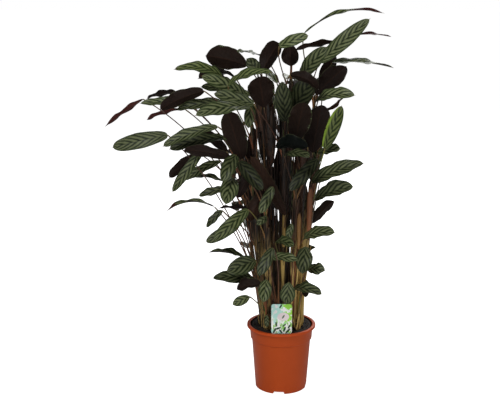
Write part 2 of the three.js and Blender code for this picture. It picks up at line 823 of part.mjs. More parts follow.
function leafSamples(name, stem, leaf) {
  const samples = [];
  const surface = bladeSurface(leaf);
  const rows = Math.ceil(leaf.base.distanceTo(leaf.tip) / SAMPLE_STEP);
  for (let row = 0; row <= rows; row += 1) {
    for (const s of [-1, -0.5, 0, 0.5, 1]) {
      samples.push({ point: surface(row / rows, s).point, room: BLADE_ROOM, stem: name, kind: 'blade' });
    }
  }
  const path = petiolePath(stem, leaf);
  const steps = Math.ceil(leaf.base.distanceTo(path.v0) / (SAMPLE_STEP / 2));
  for (let step = 0; step < steps; step += 1) {
    const u = step / steps;
    const room = petioleRadius(u) + PETIOLE_ROOM;
    samples.push({ point: path.getPoint(u), room, stem: name, kind: 'petiole' });
  }
  return samples;
}

// A leaf that meets another moves along the viewer's line of sight by the least that clears it.
function settleLeaf(name, stem, leaf) {
  const base = leaf.base.clone();
  const tip = leaf.tip.clone();
  for (let k = 0; k < 2 * SHIFT_COUNT; k += 1) {
    const shift = Math.ceil(k / 2) * SHIFT_STEP * (k % 2 === 0 ? 1 : -1);
    leaf.base.lerpVectors(EYE, base, 1 + shift / VIEW_DISTANCE);
    leaf.tip.lerpVectors(EYE, tip, 1 + shift / VIEW_DISTANCE);
    const samples = leafSamples(name, stem, leaf);
    if (isClear(samples)) {
      take(samples);
      return true;
    }
  }
  return false;
}

// Leaves on the far side are drawn at random, and drawn again where they meet another.
function drawLeaf(stem, turn, draw) {
  const pick = ([least, spread]) => least + spread * draw();
  const height = pick([FILL_BASE, stem.top[2] + FILL_HEADROOM - FILL_BASE]);
  const bearing = THREE.MathUtils.degToRad(turn + pick(FILL_BEARING));
  const heading = bearing + THREE.MathUtils.degToRad(pick(FILL_HEADING));
  const reach = pick(FILL_REACH);
  const length = pick(FILL_LENGTH);
  const climb = THREE.MathUtils.degToRad(pick(FILL_CLIMB));
  const base = caneAxis(stem, Math.min(height, stem.top[2]));
  base.add(new THREE.Vector3(reach * Math.cos(bearing), reach * Math.sin(bearing), 0));
  base.z = height;
  const run = length * Math.cos(climb);
  const rise = length * Math.sin(climb);
  const step = new THREE.Vector3(run * Math.cos(heading), run * Math.sin(heading), rise);
  return {
    base,
    tip: base.clone().add(step),
    width: pick(FILL_WIDTH),
    facing: draw() < 0.5 ? 'backUp' : 'up',
    arch: pick(FILL_ARCH),
    phase: WAVE_STARTS * draw(),
  };
}

// The crown of leaves widens with height, further on its left than on its right.
function isWithinCrown(leaf) {
  return [leaf.base, leaf.tip].every((point) => {
    const seen = EYE.clone().lerp(point, VIEW_DISTANCE / (VIEW_DISTANCE + point.y));
    const rise = seen.z - CROWN_FOOT;
    const left = CROWN_LEFT - CROWN_LEFT_SPREAD * rise;
    const right = CROWN_RIGHT + CROWN_RIGHT_SPREAD * rise;
    return rise < CROWN_HEIGHT && seen.x > left && seen.x < right;
  });
}

function fillLeaves(name, stem, draw) {
  const [turn, count] = stem.fill ?? [0, 0];
  const grown = [];
  for (let k = 0; k < FILL_TRIES && grown.length < count; k += 1) {
    const leaf = drawLeaf(stem, turn, draw);
    const samples = leafSamples(name, stem, leaf);
    if (isWithinCrown(leaf) && isClear(samples)) {
      take(samples);
      grown.push(leaf);
    }
  }
  return grown;
}

// Building

function placeLeaves() {
  const draw = makeDraw(DRAW_START);
  const placed = {};
  take(tagSamples());
  for (const [name, stem] of Object.entries(STEMS)) take(caneSamples(name, stem));
  for (const [name, stem] of Object.entries(STEMS)) {
    placed[name] = stem.leaves.map(([base, tip, width, facing, arch]) => ({
      base: new THREE.Vector3(...base),
      tip: new THREE.Vector3(...tip),
      width,
      facing,
      arch,
      phase: WAVE_STARTS * draw(),
    }));
    placed[name] = placed[name].filter((leaf) => settleLeaf(name, stem, leaf));
  }
  for (const [name, stem] of Object.entries(STEMS)) {
    placed[name].push(...fillLeaves(name, stem, draw));
  }
  return placed;
}

addMesh('pot', toGeometry(potSolid()), POT_MATERIAL);
addMesh('soil', toGeometry(soilSolid()), SOIL_MATERIAL);
addMesh('plant_tag', tagGeometry(), TAG_MATERIAL);

for (const [name, leaves] of Object.entries(placeLeaves())) {
  const stem = STEMS[name];
  let solid = caneSolid(stem);
  for (const leaf of leaves) {
    solid = solid.add(leafSolid(stem, leaf));
  }
  addMesh(name, toGeometry(solid), LEAF_MATERIAL);
}

export default group;
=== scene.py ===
# The looks of a tall clump of patterned prayer-plant stems in a terracotta-coloured nursery pot.
# Lengths are in millimetres until a mesh is written. +Z is up, and the viewer's side is -Y.
import math

import bmesh
import bpy
import numpy as np
from mathutils import Matrix, Vector, noise


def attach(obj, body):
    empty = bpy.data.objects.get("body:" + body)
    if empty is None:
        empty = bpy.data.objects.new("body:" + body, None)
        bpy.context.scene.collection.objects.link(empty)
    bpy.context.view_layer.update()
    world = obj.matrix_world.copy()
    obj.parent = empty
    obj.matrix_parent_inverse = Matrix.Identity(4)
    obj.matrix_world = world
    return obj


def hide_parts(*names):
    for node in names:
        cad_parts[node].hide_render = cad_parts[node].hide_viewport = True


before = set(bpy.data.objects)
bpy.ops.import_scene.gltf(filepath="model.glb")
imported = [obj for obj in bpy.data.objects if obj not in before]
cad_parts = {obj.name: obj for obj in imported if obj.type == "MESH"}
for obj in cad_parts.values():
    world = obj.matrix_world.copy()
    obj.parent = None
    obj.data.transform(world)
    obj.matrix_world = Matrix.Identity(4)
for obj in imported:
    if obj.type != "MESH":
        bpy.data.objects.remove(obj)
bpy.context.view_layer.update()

MM = 0.001

# Pot
POT_HEIGHT = 203
RIM_RADIUS = 105
RIM_DROP = 7
COLLAR_RADIUS = 97
COLLAR_FOOT = 160
COLLAR_FOOT_RADIUS = 94
BODY_TOP_RADIUS = 90
BODY_FOOT_RADIUS = 78.5
WALL = 2.4
ROUNDING = 1.5
POT_BEVEL = 0.45
POT_SEAM = 1e-6
SHARP = math.radians(25)
FLOOR_HEIGHT = 8
HUB_RADIUS = 22
FOOT_WIDTH = 3
POT_STEPS = 128
NOTCH_COUNT = 4
NOTCH_WIDTH = 38
NOTCH_TOP_WIDTH = 28
NOTCH_TURN = -96
DRAIN_COUNT = 8
DRAIN_RADIUS = 6
DRAIN_CIRCLE = 48
DRAIN_STEPS = 24
CUTTER_REACH = 30

# Soil
GAP = 0.3
SOIL_EDGE = 191
SOIL_BEVEL = 6
SOIL = 195
SOCKET_DEPTH = 45
LEAN_FROM = SOIL + 8
CLOD_HEIGHT = 5
CLOD_SIZES = (24, 9, 3.2)
CLOD_SHARES = (0.5, 0.45, 0.25)
CRUMB_COUNT = 260
CRUMB_SIZE = (1.2, 2.6)
BARK_SHARE = 0.3
SOIL_ROWS = 46
SOIL_COLUMNS = 150
SOIL_BANK = 4

# Plant tag
TAG_WIDTH = 62
TAG_TOP = 292
TAG_SHOULDER = 198
TAG_STAKE_WIDTH = 24
TAG_STAKE_FOOT = 140
TAG_THICKNESS = 0.8
TAG_CORNER = 7
TAG_BEVEL = 0.15
TAG_CENTRE_X = -1
TAG_Y = -80

# Stems and leaves
CANE_RADIUS = 6.5
CANE_TAPER = 0.25
CANE_LEAN = 1.4
SPIKE_LENGTH = 55
SPIKE_RADIUS = 1.2
TUFT_TOP = 300
INTERNODE = 200
MOUTH_LENGTH = 7
SHEATH_FLARE = 0.16
CROWN_RADIUS = 9
CROWN_LENGTH = 230
SHEATH_RADIUS = 3.4
SHEATH_FULL = 0.05
SHEATH_END = 0.42
PETIOLE_RADIUS = 1.7
ROOT_DROP = 50
ROOT_DROP_PER_REACH = 1.3
ROOT_ABOVE_SOIL = 30
ROOT_BELOW_TOP = 5
START_LEAN = 0.5
START_PULL = 0.38
FINISH_TURN = 0.3
FINISH_PULL = 0.25
OUTLINE_SHIFT = 1.15
OUTLINE_FULLNESS = 0.4
TIP_TAPER = 0.25
TIP_SHARPNESS = 12
BLADE_THICKNESS = 1.0
BLADE_FOLD = math.radians(18)
EDGE_WAVE = 3.2
WAVES = 2.3
WAVE_OFFSET = 2
WAVE_STARTS = 6

# How finely the skins are divided
BLADE_ROWS = 34
BLADE_COLUMNS = 24
STALK_ROWS = 28
STALK_COLUMNS = 10
CANE_ROW = 9
CANE_COLUMNS = 30

# Room that each piece keeps round itself
CANE_ROOM = 10
BLADE_ROOM = 5
PETIOLE_ROOM = 2.5
CELL = 30
SAMPLE_STEP = 14
SHIFT_STEP = 8
SHIFT_COUNT = 16
DRAW_START = 2024

# Leaves on the far side. A pair is a least value and a spread, in millimetres or degrees.
FILL_TRIES = 200
FILL_BASE = 330
FILL_HEADROOM = 100
FILL_BEARING = (-30, 60)
FILL_HEADING = (-25, 50)
FILL_REACH = (55, 75)
FILL_LENGTH = (120, 60)
FILL_CLIMB = (-35, 75)
FILL_WIDTH = (38, 20)
FILL_ARCH = (0.06, 0.1)

# The outline of the crown as the viewer sees it, which the far leaves stay within
CROWN_FOOT = 400
CROWN_HEIGHT = 590
CROWN_LEFT = -95
CROWN_RIGHT = 75
CROWN_LEFT_SPREAD = 0.28
CROWN_RIGHT_SPREAD = 0.12
VIEW_DISTANCE = 3500
EYE = np.array([-96.0, -VIEW_DISTANCE, 1497.0])

# The viewer's camera
VIEW_TILT = 75.52
VIEW_LENS = 86.9
SENSOR_WIDTH = 36

# Where a blade's upper face looks
FACING = {
    "up": (0, 0, 1),
    "upFront": (0, -0.25, 1),
    "front": (0, -1, 0.35),
    "frontUp": (0, -1, 1),
    "back": (0, 1, 0.35),
    "backUp": (0, 1, 1),
    "down": (0, 0.3, -1),
}

# Details of a blade, beyond its plain form
SKIN_SEAM = 1e-7
ROW_EVENNESS = 0.45
SKIN_FULLNESS = 0.34
STOUT_SHAPE = (0.36, 0.56)
STOUT_POINTING = 0.18
STOUT_WIDENING = 0.05
BODY_END = 0.958
POINT_WIDTH = 1.8
END_THINNING = 6
TWIST = 0.7
TWIST_MIDDLE = 0.35
TWIST_START = 0.3
CURL = 0.3
RIB_CROWDING = 1.35
RIB_DEPTH = 1.3
RIB_WIDTH = 1.4
RIB_TAPER = 0.75
RIPPLE = 0.024
RIPPLES = 5.3
RIPPLE_OFFSET = 1.7
BAR_STEP = 25
BAR_SLANT = 22
LEAST_BARS = 3.5
WITHERED = (66, 32, 28)

# Details of stalks, canes and sheaths
SWELL_AT = 0.955
SWELL_LENGTH = 0.035
SWELL_RADIUS = 0.5
GROOVE_DEPTH = 0.45
GROOVE_WIDTH = 0.6
SHEATH_THICKNESS = 0.7
SHEATH_ROWS = 12
SHEATH_LENGTH = 130
SHEATH_SLIMMING = 0.8
SHEATH_SWELLING = 0.25
SHEATH_GRIP = 52
# The middle of the clump, where the canes get painted shade
SHADED_HEART_X = -2
SHADED_HEART_Y = 26
SHADED_HEART_RADIUS = 54
LOBES = 3
LOBE_DEPTH = 0.3
LOBE_TWIST = 0.004
STRAND_COUNT = 5
STRAND_RADIUS = 2.6
STRAND_SPREAD = 13
STRAND_TURN = 0.8
STRAND_TAPER = 0.4
STRAND_ROW = 16
STRAND_COLUMNS = 8
MOUTH_DEPTH = 26
MOUTH_LIP = 0.01
MOUTH_OPENING = 1.3
WRAP_ROWS = 17
WRAP_COLUMNS = 16
WRAP_ROUNDING = 0.06
WRAP_POINTING = 2.2
WRAP_FULLNESS = 0.8
WRAP_THINNING = 9
BRACT_CLEARANCE = 1.4
BRACT_OPENING = 5
BRACT_GIRTH = 3.4
BRACTS_REACH = 0.5
LEAST_BRACTS = 2
GIRTH_PER_BRACT = 4
GOLDEN_TURN = 2.4
LOOK_START = 77
SPIKE_ROUNDING = 0.8

# Places and lengths as shares of an internode, of the cane and of the crown. Each is a least
# value and a spread.
FIRST_MOUTH = (0.3, 0.5)
NEXT_MOUTH = (0.8, 0.5)
STRAND_REACH = (0.45, 0.5)
BRACT_LENGTH = (0.55, 0.15)

# The thick of the clump, where little light comes in
THICKET_CENTRE = (10, -10, 700)
THICKET_REACH = (155, 160, 240)
THICKET_LIGHT = 0.45

# The print on the tag: the centre, half lengths and turn of each dark leaf, and the badge
TAG_LEAVES = [
    ((-22, 208), (9, 3.2), 62),
    ((-11, 215), (9, 3), 20),
    ((-3, 205), (8, 2.8), 125),
    ((8, 212), (9, 3), 70),
    ((18, 207), (10, 3.2), 48),
    ((22, 221), (8, 2.6), 60),
    ((7, 225), (7, 2.2), 40),
    ((-17, 228), (8, 2.6), 100),
    ((-4, 285), (7, 2.6), 60),
]
TAG_BADGE = (4, 252)
TAG_BADGE_SIZE = (18, 13)
TAG_BADGE_LEAF = (7, 2.6)

# Broad sheaths at the front of their canes: foot, tip, width, tone and glow, the painted light that
# keeps a sheath bright against the clump's painted shade
BROAD_FOOT = 0.6
BROAD_REACH = 1.7
BROAD_SHEATHS = {
    "stem_right_3": [((80, -32, 478), (83, -30, 650), 20, 1, 0.65)],
    "stem_right_1": [((50, -26, 445), (51, -28, 566), 13, 0.86, 0.55)],
    "stem_middle_1": [
        ((5, -24, 450), (6, -26, 580), 11, 0.8, 0.7),
        ((3, -12, 290), (3, -20, 440), 12, 0.55, 0.4),
    ],
}

# Studio, where each light has its place and size in metres and its power
FLOOR_SIZE = 12000
WORLD_STRENGTH = 0.1
FLOOR_GLOW = 0.93
LIGHT_TARGET = (-0.1, 0, 0.6)
LIGHTS = {
    "key": ((-1.2, -2.4, 3.2), 1.2, 56),
    "low": ((-0.2, -3.4, 0.5), 1.8, 26),
    "fill": ((1.8, -2.6, 0.7), 1.6, 14),
    "back": ((0.9, 2.6, 2.2), 2.0, 60),
}

# Each stem has its foot in the soil, the top of its cane and its leaves, given as base, tip,
# width, facing and arch. Two more values may follow: the leaf's light, which is above 0 for a
# young green leaf, over 0.6 for one with painted sunlight along one half, below 0 for one
# darkened with painted shade and with a browner underside, and -2 for one in near-black painted
# deep shade, and the share of the blade that has withered from its tip. lean and crown replace
# the usual bend and swelling of the cane, and fill gives a bearing in degrees and a count of
# leaves round it.
STEMS = {
    "stem_right_1": dict(foot=(36, -8), top=(40, -25, 640), leaves=[
        ((70, -100, 775), (-25, -175, 795), 52, "back", 0.1, -2),
        ((5, -85, 750), (75, -185, 765), 34, "frontUp", 0.1, -0.35),
        ((100, -75, 735), (15, -145, 655), 42, "front", 0.08, -1),
        ((65, -40, 487), (154, -120, 526), 46, "frontUp", 0.1),
        ((70, -50, 462), (58, -112, 395), 50, "front", 0.06),
    ]),
    "stem_right_2": dict(foot=(45, 15), top=(62, 0, 800), leaves=[
        ((105, -20, 1010), (247, -60, 1142), 48, "front", 0.05),
        ((55, -35, 975), (122, -100, 1067), 48, "front", 0.1),
        ((35, -60, 780), (58, -120, 912), 70, "back", 0.05, -0.15),
        ((30, -5, 870), (88, -60, 978), 66, "front", 0.05, -0.85),
    ]),
    "stem_right_3": dict(foot=(58, -6), top=(92, -30, 600), lean=2.2, leaves=[
        ((90, 0, 738), (112, -40, 892), 80, "back", 0.06, -0.15),
        ((121, -80, 768), (166, -110, 902), 42, "front", 0.05, 0.8),
        ((102, -60, 750), (165, -110, 774), 36, "frontUp", 0.05),
        ((86, -40, 659), (236, -112, 731), 56, "frontUp", 0.07),
        ((98, -25, 602), (208, -92, 657), 52, "frontUp", 0.07),
        ((90, -20, 527), (153, -40, 603), 36, "back", 0.06),
    ]),
    "stem_right_4": dict(foot=(62, 18), top=(110, 10, 720), lean=2.2, fill=(75, 2), leaves=[
        ((142, -10, 1008), (319, -40, 996), 48, "upFront", 0.05, 0.35),
        ((95, -20, 915), (182, -60, 1006), 66, "back", 0.05),
        ((92, -60, 900), (203, -140, 932), 44, "frontUp", 0.14),
        ((108, 25, 850), (190, 0, 920), 30, "down", 0.05, -1),
    ]),
    "stem_right_5": dict(foot=(40, 37), top=(95, 60, 860), fill=(80, 3), leaves=[
        ((62, 40, 1085), (295, 20, 1146), 22, "upFront", 0.15, 0.3, 0.42),
        ((171, 92, 1065), (323, 80, 1071), 20, "up", 0.07, 0, 0.6),
        ((115, 60, 925), (152, 30, 1027), 44, "back", 0.05),
    ]),
    "stem_middle_1": dict(foot=(4, 2), top=(2, -35, 760), leaves=[
        ((6, -45, 842), (-6, -112, 972), 52, "front", 0.05, -0.65),
        ((8, -55, 560), (-96, -150, 762), 40, "back", 0.05, -1),
        ((-92, -60, 895), (-102, -112, 832), 34, "front", 0.06, -0.4),
        ((-20, -55, 478), (34, -135, 488), 34, "frontUp", 0.1, 0.35),
    ]),
    "stem_middle_2": dict(foot=(-14, 26), top=(-46, -10, 930), crown=17, leaves=[
        ((-62, -40, 982), (-10, -55, 1072), 52, "back", 0.16),
        ((-104, -5, 998), (-228, -20, 1029), 74, "back", 0.08),
        ((-56, -68, 885), (-71, -122, 985), 78, "back", 0.05, -0.2),
        ((-69, -15, 981), (-107, -22, 1022), 36, "front", 0.08),
    ]),
    "stem_middle_3": dict(foot=(14, 29), top=(25, 40, 960), leaves=[
        ((20, -10, 1062), (20, -30, 998), 52, "back", 0.05),
        ((38, -5, 1044), (175, -20, 1066), 30, "backUp", 0.05),
        ((-12, -35, 1058), (72, -60, 1092), 34, "front", 0.12, 0.1),
        ((20, -45, 978), (102, -72, 938), 38, "back", 0.25),
    ]),
    "stem_middle_4": dict(foot=(-4, 52), top=(5, 90, 880), fill=(100, 7), leaves=[
        ((-50, 62, 1012), (-137, 60, 1031), 36, "up", 0.06),
    ]),
    "stem_middle_5": dict(foot=(26, 55), top=(60, 120, 800), fill=(75, 7), leaves=[]),
    "stem_left_1": dict(foot=(-54, -8), top=(-88, -40, 640), lean=1, leaves=[
        ((-120, -50, 730), (-162, -112, 884), 70, "back", 0.05, -0.1),
        ((-148, -75, 680), (-166, -172, 622), 54, "front", 0.06),
        ((-138, -65, 745), (-178, -132, 680), 44, "front", 0.1),
        ((-150, -60, 733), (-292, -70, 760), 40, "back", 0.1),
        ((-100, -38, 575), (-192, -50, 580), 30, "backUp", 0.05),
        ((-54, -130, 657), (-98, -170, 573), 42, "back", 0.06, -0.7),
        ((-128, -55, 532), (-228, -82, 484), 36, "front", 0.08),
    ]),
    "stem_left_2": dict(foot=(-36, 12), top=(-92, -10, 820), lean=1, leaves=[
        ((-190, -40, 824), (-352, -60, 768), 38, "frontUp", 0.08),
        ((-169, -60, 795), (-331, -110, 770), 42, "frontUp", 0.08),
        ((-110, -48, 918), (-237, -122, 987), 42, "front", 0.1),
        ((-158, -88, 952), (-33, -192, 1006), 40, "frontUp", 0.1, 0.5),
        ((-95, -88, 890), (-252, -192, 884), 44, "frontUp", 0.1),
    ]),
    "stem_left_3": dict(foot=(-56, 34), top=(-138, 50, 780), lean=1, fill=(110, 3), leaves=[
        ((-415, 62, 888), (-533, 60, 803), 24, "backUp", 0.02, 0, 1),
        ((-275, 12, 879), (-422, 0, 885), 38, "frontUp", 0.06),
        ((-290, 62, 857), (-407, 60, 824), 24, "backUp", 0.08, 0, 0.8),
        ((-170, -18, 890), (-312, -42, 874), 38, "frontUp", 0.08),
        ((-165, 5, 740), (-248, -12, 807), 36, "back", 0.1),
        ((-178, 30, 643), (-284, 30, 652), 32, "upFront", 0.1),
        ((-232, -30, 758), (-327, -52, 628), 32, "front", 0.08),
    ]),
    "stem_left_4": dict(foot=(-32, 41), top=(-70, 30, 930), crown=14, fill=(105, 4), leaves=[
        ((-318, 80, 906), (-407, 90, 884), 34, "backUp", 0.08),
        ((-229, -50, 931), (-357, -75, 880), 48, "back", 0.1),
        ((-176, -60, 973), (-314, -90, 998), 40, "frontUp", 0.2, 0.58, 0.12),
        ((-95, -18, 912), (-242, -42, 941), 36, "frontUp", 0.08),
        ((-85, -45, 892), (-203, -62, 926), 40, "front", 0.08),
    ]),
    "stem_left_5": dict(foot=(-30, -22), top=(-50, -70, 560), lean=1, leaves=[
        ((-128, -85, 730), (-58, -142, 656), 42, "front", 0.08, -1),
        ((-96, -70, 690), (-133, -80, 618), 36, "back", 0.06),
        ((-102, -108, 592), (-203, -184, 518), 42, "front", 0.06, 0.38),
        ((-29, -62, 649), (-67, -92, 575), 32, "front", 0.06),
        ((-46, -80, 562), (-78, -105, 545), 22, "front", 0.08),
    ]),
    "stem_back_1": dict(foot=(-20, 71), top=(-40, 170, 760), fill=(105, 5), leaves=[
        ((-41, 100, 656), (-59, 120, 449), 37, "back", 0.05),
        ((-34, 110, 443), (-39, 110, 279), 37, "front", 0.05),
    ]),
    "stem_back_2": dict(foot=(10, 74), top=(30, 190, 840), fill=(85, 5), leaves=[
        ((-4, 120, 727), (-15, 140, 518), 39, "back", 0.05),
        ((33, 130, 687), (30, 150, 483), 39, "front", 0.05),
    ]),
    "stem_back_3": dict(foot=(-44, 58), top=(-110, 140, 640), fill=(115, 4), leaves=[
        ((-250, 62, 722), (-342, 50, 648), 38, "back", 0.08),
        ((-185, 42, 702), (-292, 20, 648), 32, "frontUp", 0.1),
        ((-84, 110, 791), (-99, 120, 626), 37, "back", 0.05),
    ]),
    "stem_back_4": dict(foot=(62, 42), top=(100, 140, 660), fill=(70, 4), leaves=[
        ((73, 100, 615), (63, 110, 426), 34, "front", 0.05),
    ]),
    "tuft_left": dict(foot=(-59, 13), top=(-63, 12, 250), leaves=[
        ((-338, -10, 793), (-506, -10, 755), 50, "front", 0.05),
        ((-170, -38, 636), (-248, -52, 618), 30, "frontUp", 0.08),
        ((-202, -20, 577), (-347, -30, 564), 32, "up", 0.16, 0, 0.28),
        ((-112, -20, 418), (-222, -30, 438), 34, "upFront", 0.08),
    ]),
    "tuft_front_left": dict(foot=(-44, -36), top=(-48, -40, 235), leaves=[
        ((-180, 10, 558), (-228, 0, 507), 26, "frontUp", 0.08),
        ((-80, -28, 412), (-168, -92, 396), 54, "front", 0.08),
        ((-78, -38, 349), (-210, -112, 383), 46, "frontUp", 0.12),
        ((-60, -88, 357), (-137, -112, 349), 42, "back", 0.1),
        ((-97, -68, 311), (-150, -82, 291), 30, "front", 0.06, 0.35),
    ]),
    "tuft_front": dict(foot=(-8, -42), top=(-10, -46, 230), leaves=[
        ((-32, -38, 424), (48, -112, 436), 34, "frontUp", 0.1),
        ((-28, -78, 466), (-73, -122, 392), 36, "front", 0.06),
        ((-48, -58, 362), (-56, -112, 306), 40, "front", 0.08),
        ((-45, -60, 250), (-46, -70, 214), 16, "front", 0.05),
    ]),
    "tuft_front_right": dict(foot=(22, -34), top=(24, -38, 230), leaves=[
        ((36, -48, 328), (118, -127, 338), 38, "frontUp", 0.14),
        ((20, -66, 356), (14, -72, 288), 46, "front", 0.05, 0.25),
        ((29, -50, 533), (14, -62, 487), 22, "front", 0.06),
    ]),
    "tuft_right": dict(foot=(50, -32), top=(52, -34, 250), leaves=[
        ((78, -30, 386), (130, -60, 390), 40, "frontUp", 0.1),
        ((76, 10, 338), (74, 0, 284), 24, "back", 0.06),
    ]),
    "tuft_back": dict(foot=(42, 60), top=(44, 64, 235), fill=(90, 4), leaves=[
        ((60, 60, 411), (106, 35, 434), 28, "frontUp", 0.08),
    ]),
}

UP = np.array([0.0, 0.0, 1.0])


def unit(vector):
    return vector / np.linalg.norm(vector)


def smooth(value, low, high):
    share = np.clip((value - low) / (high - low), 0, 1)
    return share * share * (3 - 2 * share)


# The same draws as the solids use: every product stays a whole number
def make_draw(start):
    state = start

    def draw():
        nonlocal state
        state = (state * 16807) % 2147483647
        return state / 2147483647

    return draw


def pick(bounds, draw):
    return bounds[0] + bounds[1] * draw()


# Where stems and leaves are

def cane_axis(stem, height):
    x, y = stem["foot"]
    top_x, top_y, top_z = stem["top"]
    rise = max(0, (height - LEAN_FROM) / (top_z - LEAN_FROM))
    lean = rise ** stem.get("lean", CANE_LEAN)
    return np.array([x + (top_x - x) * lean, y + (top_y - y) * lean, height])


# The cane is wrapped in sheaths, each a little wider at its mouth.
def cane_radius(stem, height):
    rise = min(max((height - SOIL) / (stem["top"][2] - SOIL), 0), 1)
    sheath = (height - SOIL) / INTERNODE
    flare = SHEATH_FLARE * (sheath - math.floor(sheath) - 1)
    return CANE_RADIUS * (1 - CANE_TAPER * rise) * (1 + flare)


class Leaf:
    def __init__(self, base, tip, width, facing, arch, phase, light=0, withered=0):
        self.base = np.array(base, float)
        self.tip = np.array(tip, float)
        self.width = width
        self.facing = facing
        self.arch = arch
        self.phase = phase
        self.light = light
        self.withered = withered

    def length(self):
        return float(np.linalg.norm(self.tip - self.base))

    # The directions along the blade, out of its upper face and across it
    def axes(self):
        along = unit(self.tip - self.base)
        facing = np.array(FACING[self.facing], float)
        up = unit(facing - along * facing.dot(along))
        return along, up, np.cross(along, up)


# The outline is oblong, fullest beyond its middle, and blunt at its tip.
def blade_outline(t, fullness=OUTLINE_FULLNESS):
    rounded = np.maximum(0, np.sin(math.pi * t ** OUTLINE_SHIFT)) ** fullness
    return rounded * (1 - TIP_TAPER * t ** TIP_SHARPNESS)


# A blade's midrib bows from base to tip, its halves fold up along it and its edges wave.
def blade_surface(leaf, t, s, half):
    along, up, side = leaf.axes()
    length = leaf.length()
    phase = leaf.phase + np.where(s > 0, WAVE_OFFSET, 0)
    wave = EDGE_WAVE * s * s * blade_outline(t) * np.sin(math.tau * WAVES * t + phase)
    lift = half * abs(s) * math.sin(BLADE_FOLD) + wave
    slope = 4 * leaf.arch * (1 - 2 * t)
    normal = up - np.outer(slope, along)
    normal /= np.linalg.norm(normal, axis=1)[:, None]
    bow = 4 * leaf.arch * length * t * (1 - t)
    point = leaf.base + np.outer(length * t, along) + np.outer(bow, up)
    point += np.outer(half * s * math.cos(BLADE_FOLD), side) + normal * lift[:, None]
    return point, normal


# A petiole leaves its cane steeply and swings out to the blade's base.
def petiole_controls(stem, leaf):
    top = stem["top"][2]
    cane = cane_axis(stem, min(leaf.base[2], top))
    reach = math.hypot(leaf.base[0] - cane[0], leaf.base[1] - cane[1])
    height = leaf.base[2] - ROOT_DROP - ROOT_DROP_PER_REACH * reach
    root = cane_axis(stem, min(max(height, SOIL + ROOT_ABOVE_SOIL), top - ROOT_BELOW_TOP))
    span = np.linalg.norm(leaf.base - root)
    direct = (leaf.base - root) / span
    along = leaf.axes()[0]
    start = unit(direct * START_LEAN + UP)
    finish = unit(direct + (along - direct) * FINISH_TURN)
    return root, root + start * START_PULL * span, leaf.base - finish * FINISH_PULL * span, leaf.base


def curve_points(controls, u):
    shares = [(1 - u) ** 3, 3 * u * (1 - u) ** 2, 3 * u * u * (1 - u), u ** 3]
    return sum(np.outer(share, control) for share, control in zip(shares, controls))


# A petiole's lower part is a broad sheath that narrows to the stalk.
def petiole_radius(u):
    sheath = 1 - smooth(u, SHEATH_FULL, SHEATH_END)
    return PETIOLE_RADIUS + (SHEATH_RADIUS - PETIOLE_RADIUS) * sheath


# Keeping pieces clear of each other. A sample is x, y, z, room, stem and kind.

taken = {}


def cell_of(sample):
    return tuple(math.floor(value / CELL) for value in sample[:3])


def take(samples):
    for sample in samples:
        taken.setdefault(cell_of(sample), []).append(sample)


def may_touch(sample, other):
    return sample[4] == other[4] and sample[5] == "petiole" and other[5] != "blade"


def is_near(sample, other):
    return math.dist(sample[:3], other[:3]) < sample[3] + other[3]


NEXT_CELLS = [(x, y, z) for x in (-1, 0, 1) for y in (-1, 0, 1) for z in (-1, 0, 1)]


def is_clear(samples):
    for sample in samples:
        x, y, z = cell_of(sample)
        for dx, dy, dz in NEXT_CELLS:
            for other in taken.get((x + dx, y + dy, z + dz), ()):
                if is_near(sample, other) and not may_touch(sample, other):
                    return False
    return True


def cane_samples(name, stem):
    heights = np.arange(SOIL, stem["top"][2] + SPIKE_LENGTH, SAMPLE_STEP / 2)
    return [(*cane_axis(stem, height), CANE_ROOM, name, "cane") for height in heights]


def tag_samples():
    step = SAMPLE_STEP / 2
    xs = TAG_CENTRE_X - TAG_WIDTH / 2 + step * np.arange(int(TAG_WIDTH / step) + 1)
    zs = TAG_SHOULDER + step * np.arange(int((TAG_TOP - TAG_SHOULDER) / step) + 1)
    return [(x, TAG_Y, z, 1, "tag", "blade") for x in xs for z in zs]


def leaf_samples(name, stem, leaf):
    rows = math.ceil(leaf.length() / SAMPLE_STEP)
    t, s = np.meshgrid(np.arange(rows + 1) / rows, (-1, -0.5, 0, 0.5, 1), indexing="ij")
    t = t.ravel()
    half = np.maximum(PETIOLE_RADIUS - t, leaf.width / 2 * blade_outline(t))
    points = blade_surface(leaf, t, s.ravel(), half)[0]
    samples = [(*point, BLADE_ROOM, name, "blade") for point in points.tolist()]
    controls = petiole_controls(stem, leaf)
    steps = math.ceil(np.linalg.norm(leaf.base - controls[0]) / (SAMPLE_STEP / 2))
    u = np.arange(steps) / steps
    rooms = petiole_radius(u) + PETIOLE_ROOM
    for point, room in zip(curve_points(controls, u).tolist(), rooms.tolist()):
        samples.append((*point, room, name, "petiole"))
    return samples


# A leaf that meets another moves along the viewer's line of sight by the least that clears it.
def settle_leaf(name, stem, leaf):
    base = leaf.base
    tip = leaf.tip
    for k in range(2 * SHIFT_COUNT):
        shift = math.ceil(k / 2) * SHIFT_STEP * (1 if k % 2 == 0 else -1)
        leaf.base = EYE + (base - EYE) * (1 + shift / VIEW_DISTANCE)
        leaf.tip = EYE + (tip - EYE) * (1 + shift / VIEW_DISTANCE)
        samples = leaf_samples(name, stem, leaf)
        if is_clear(samples):
            take(samples)
            return True
    return False


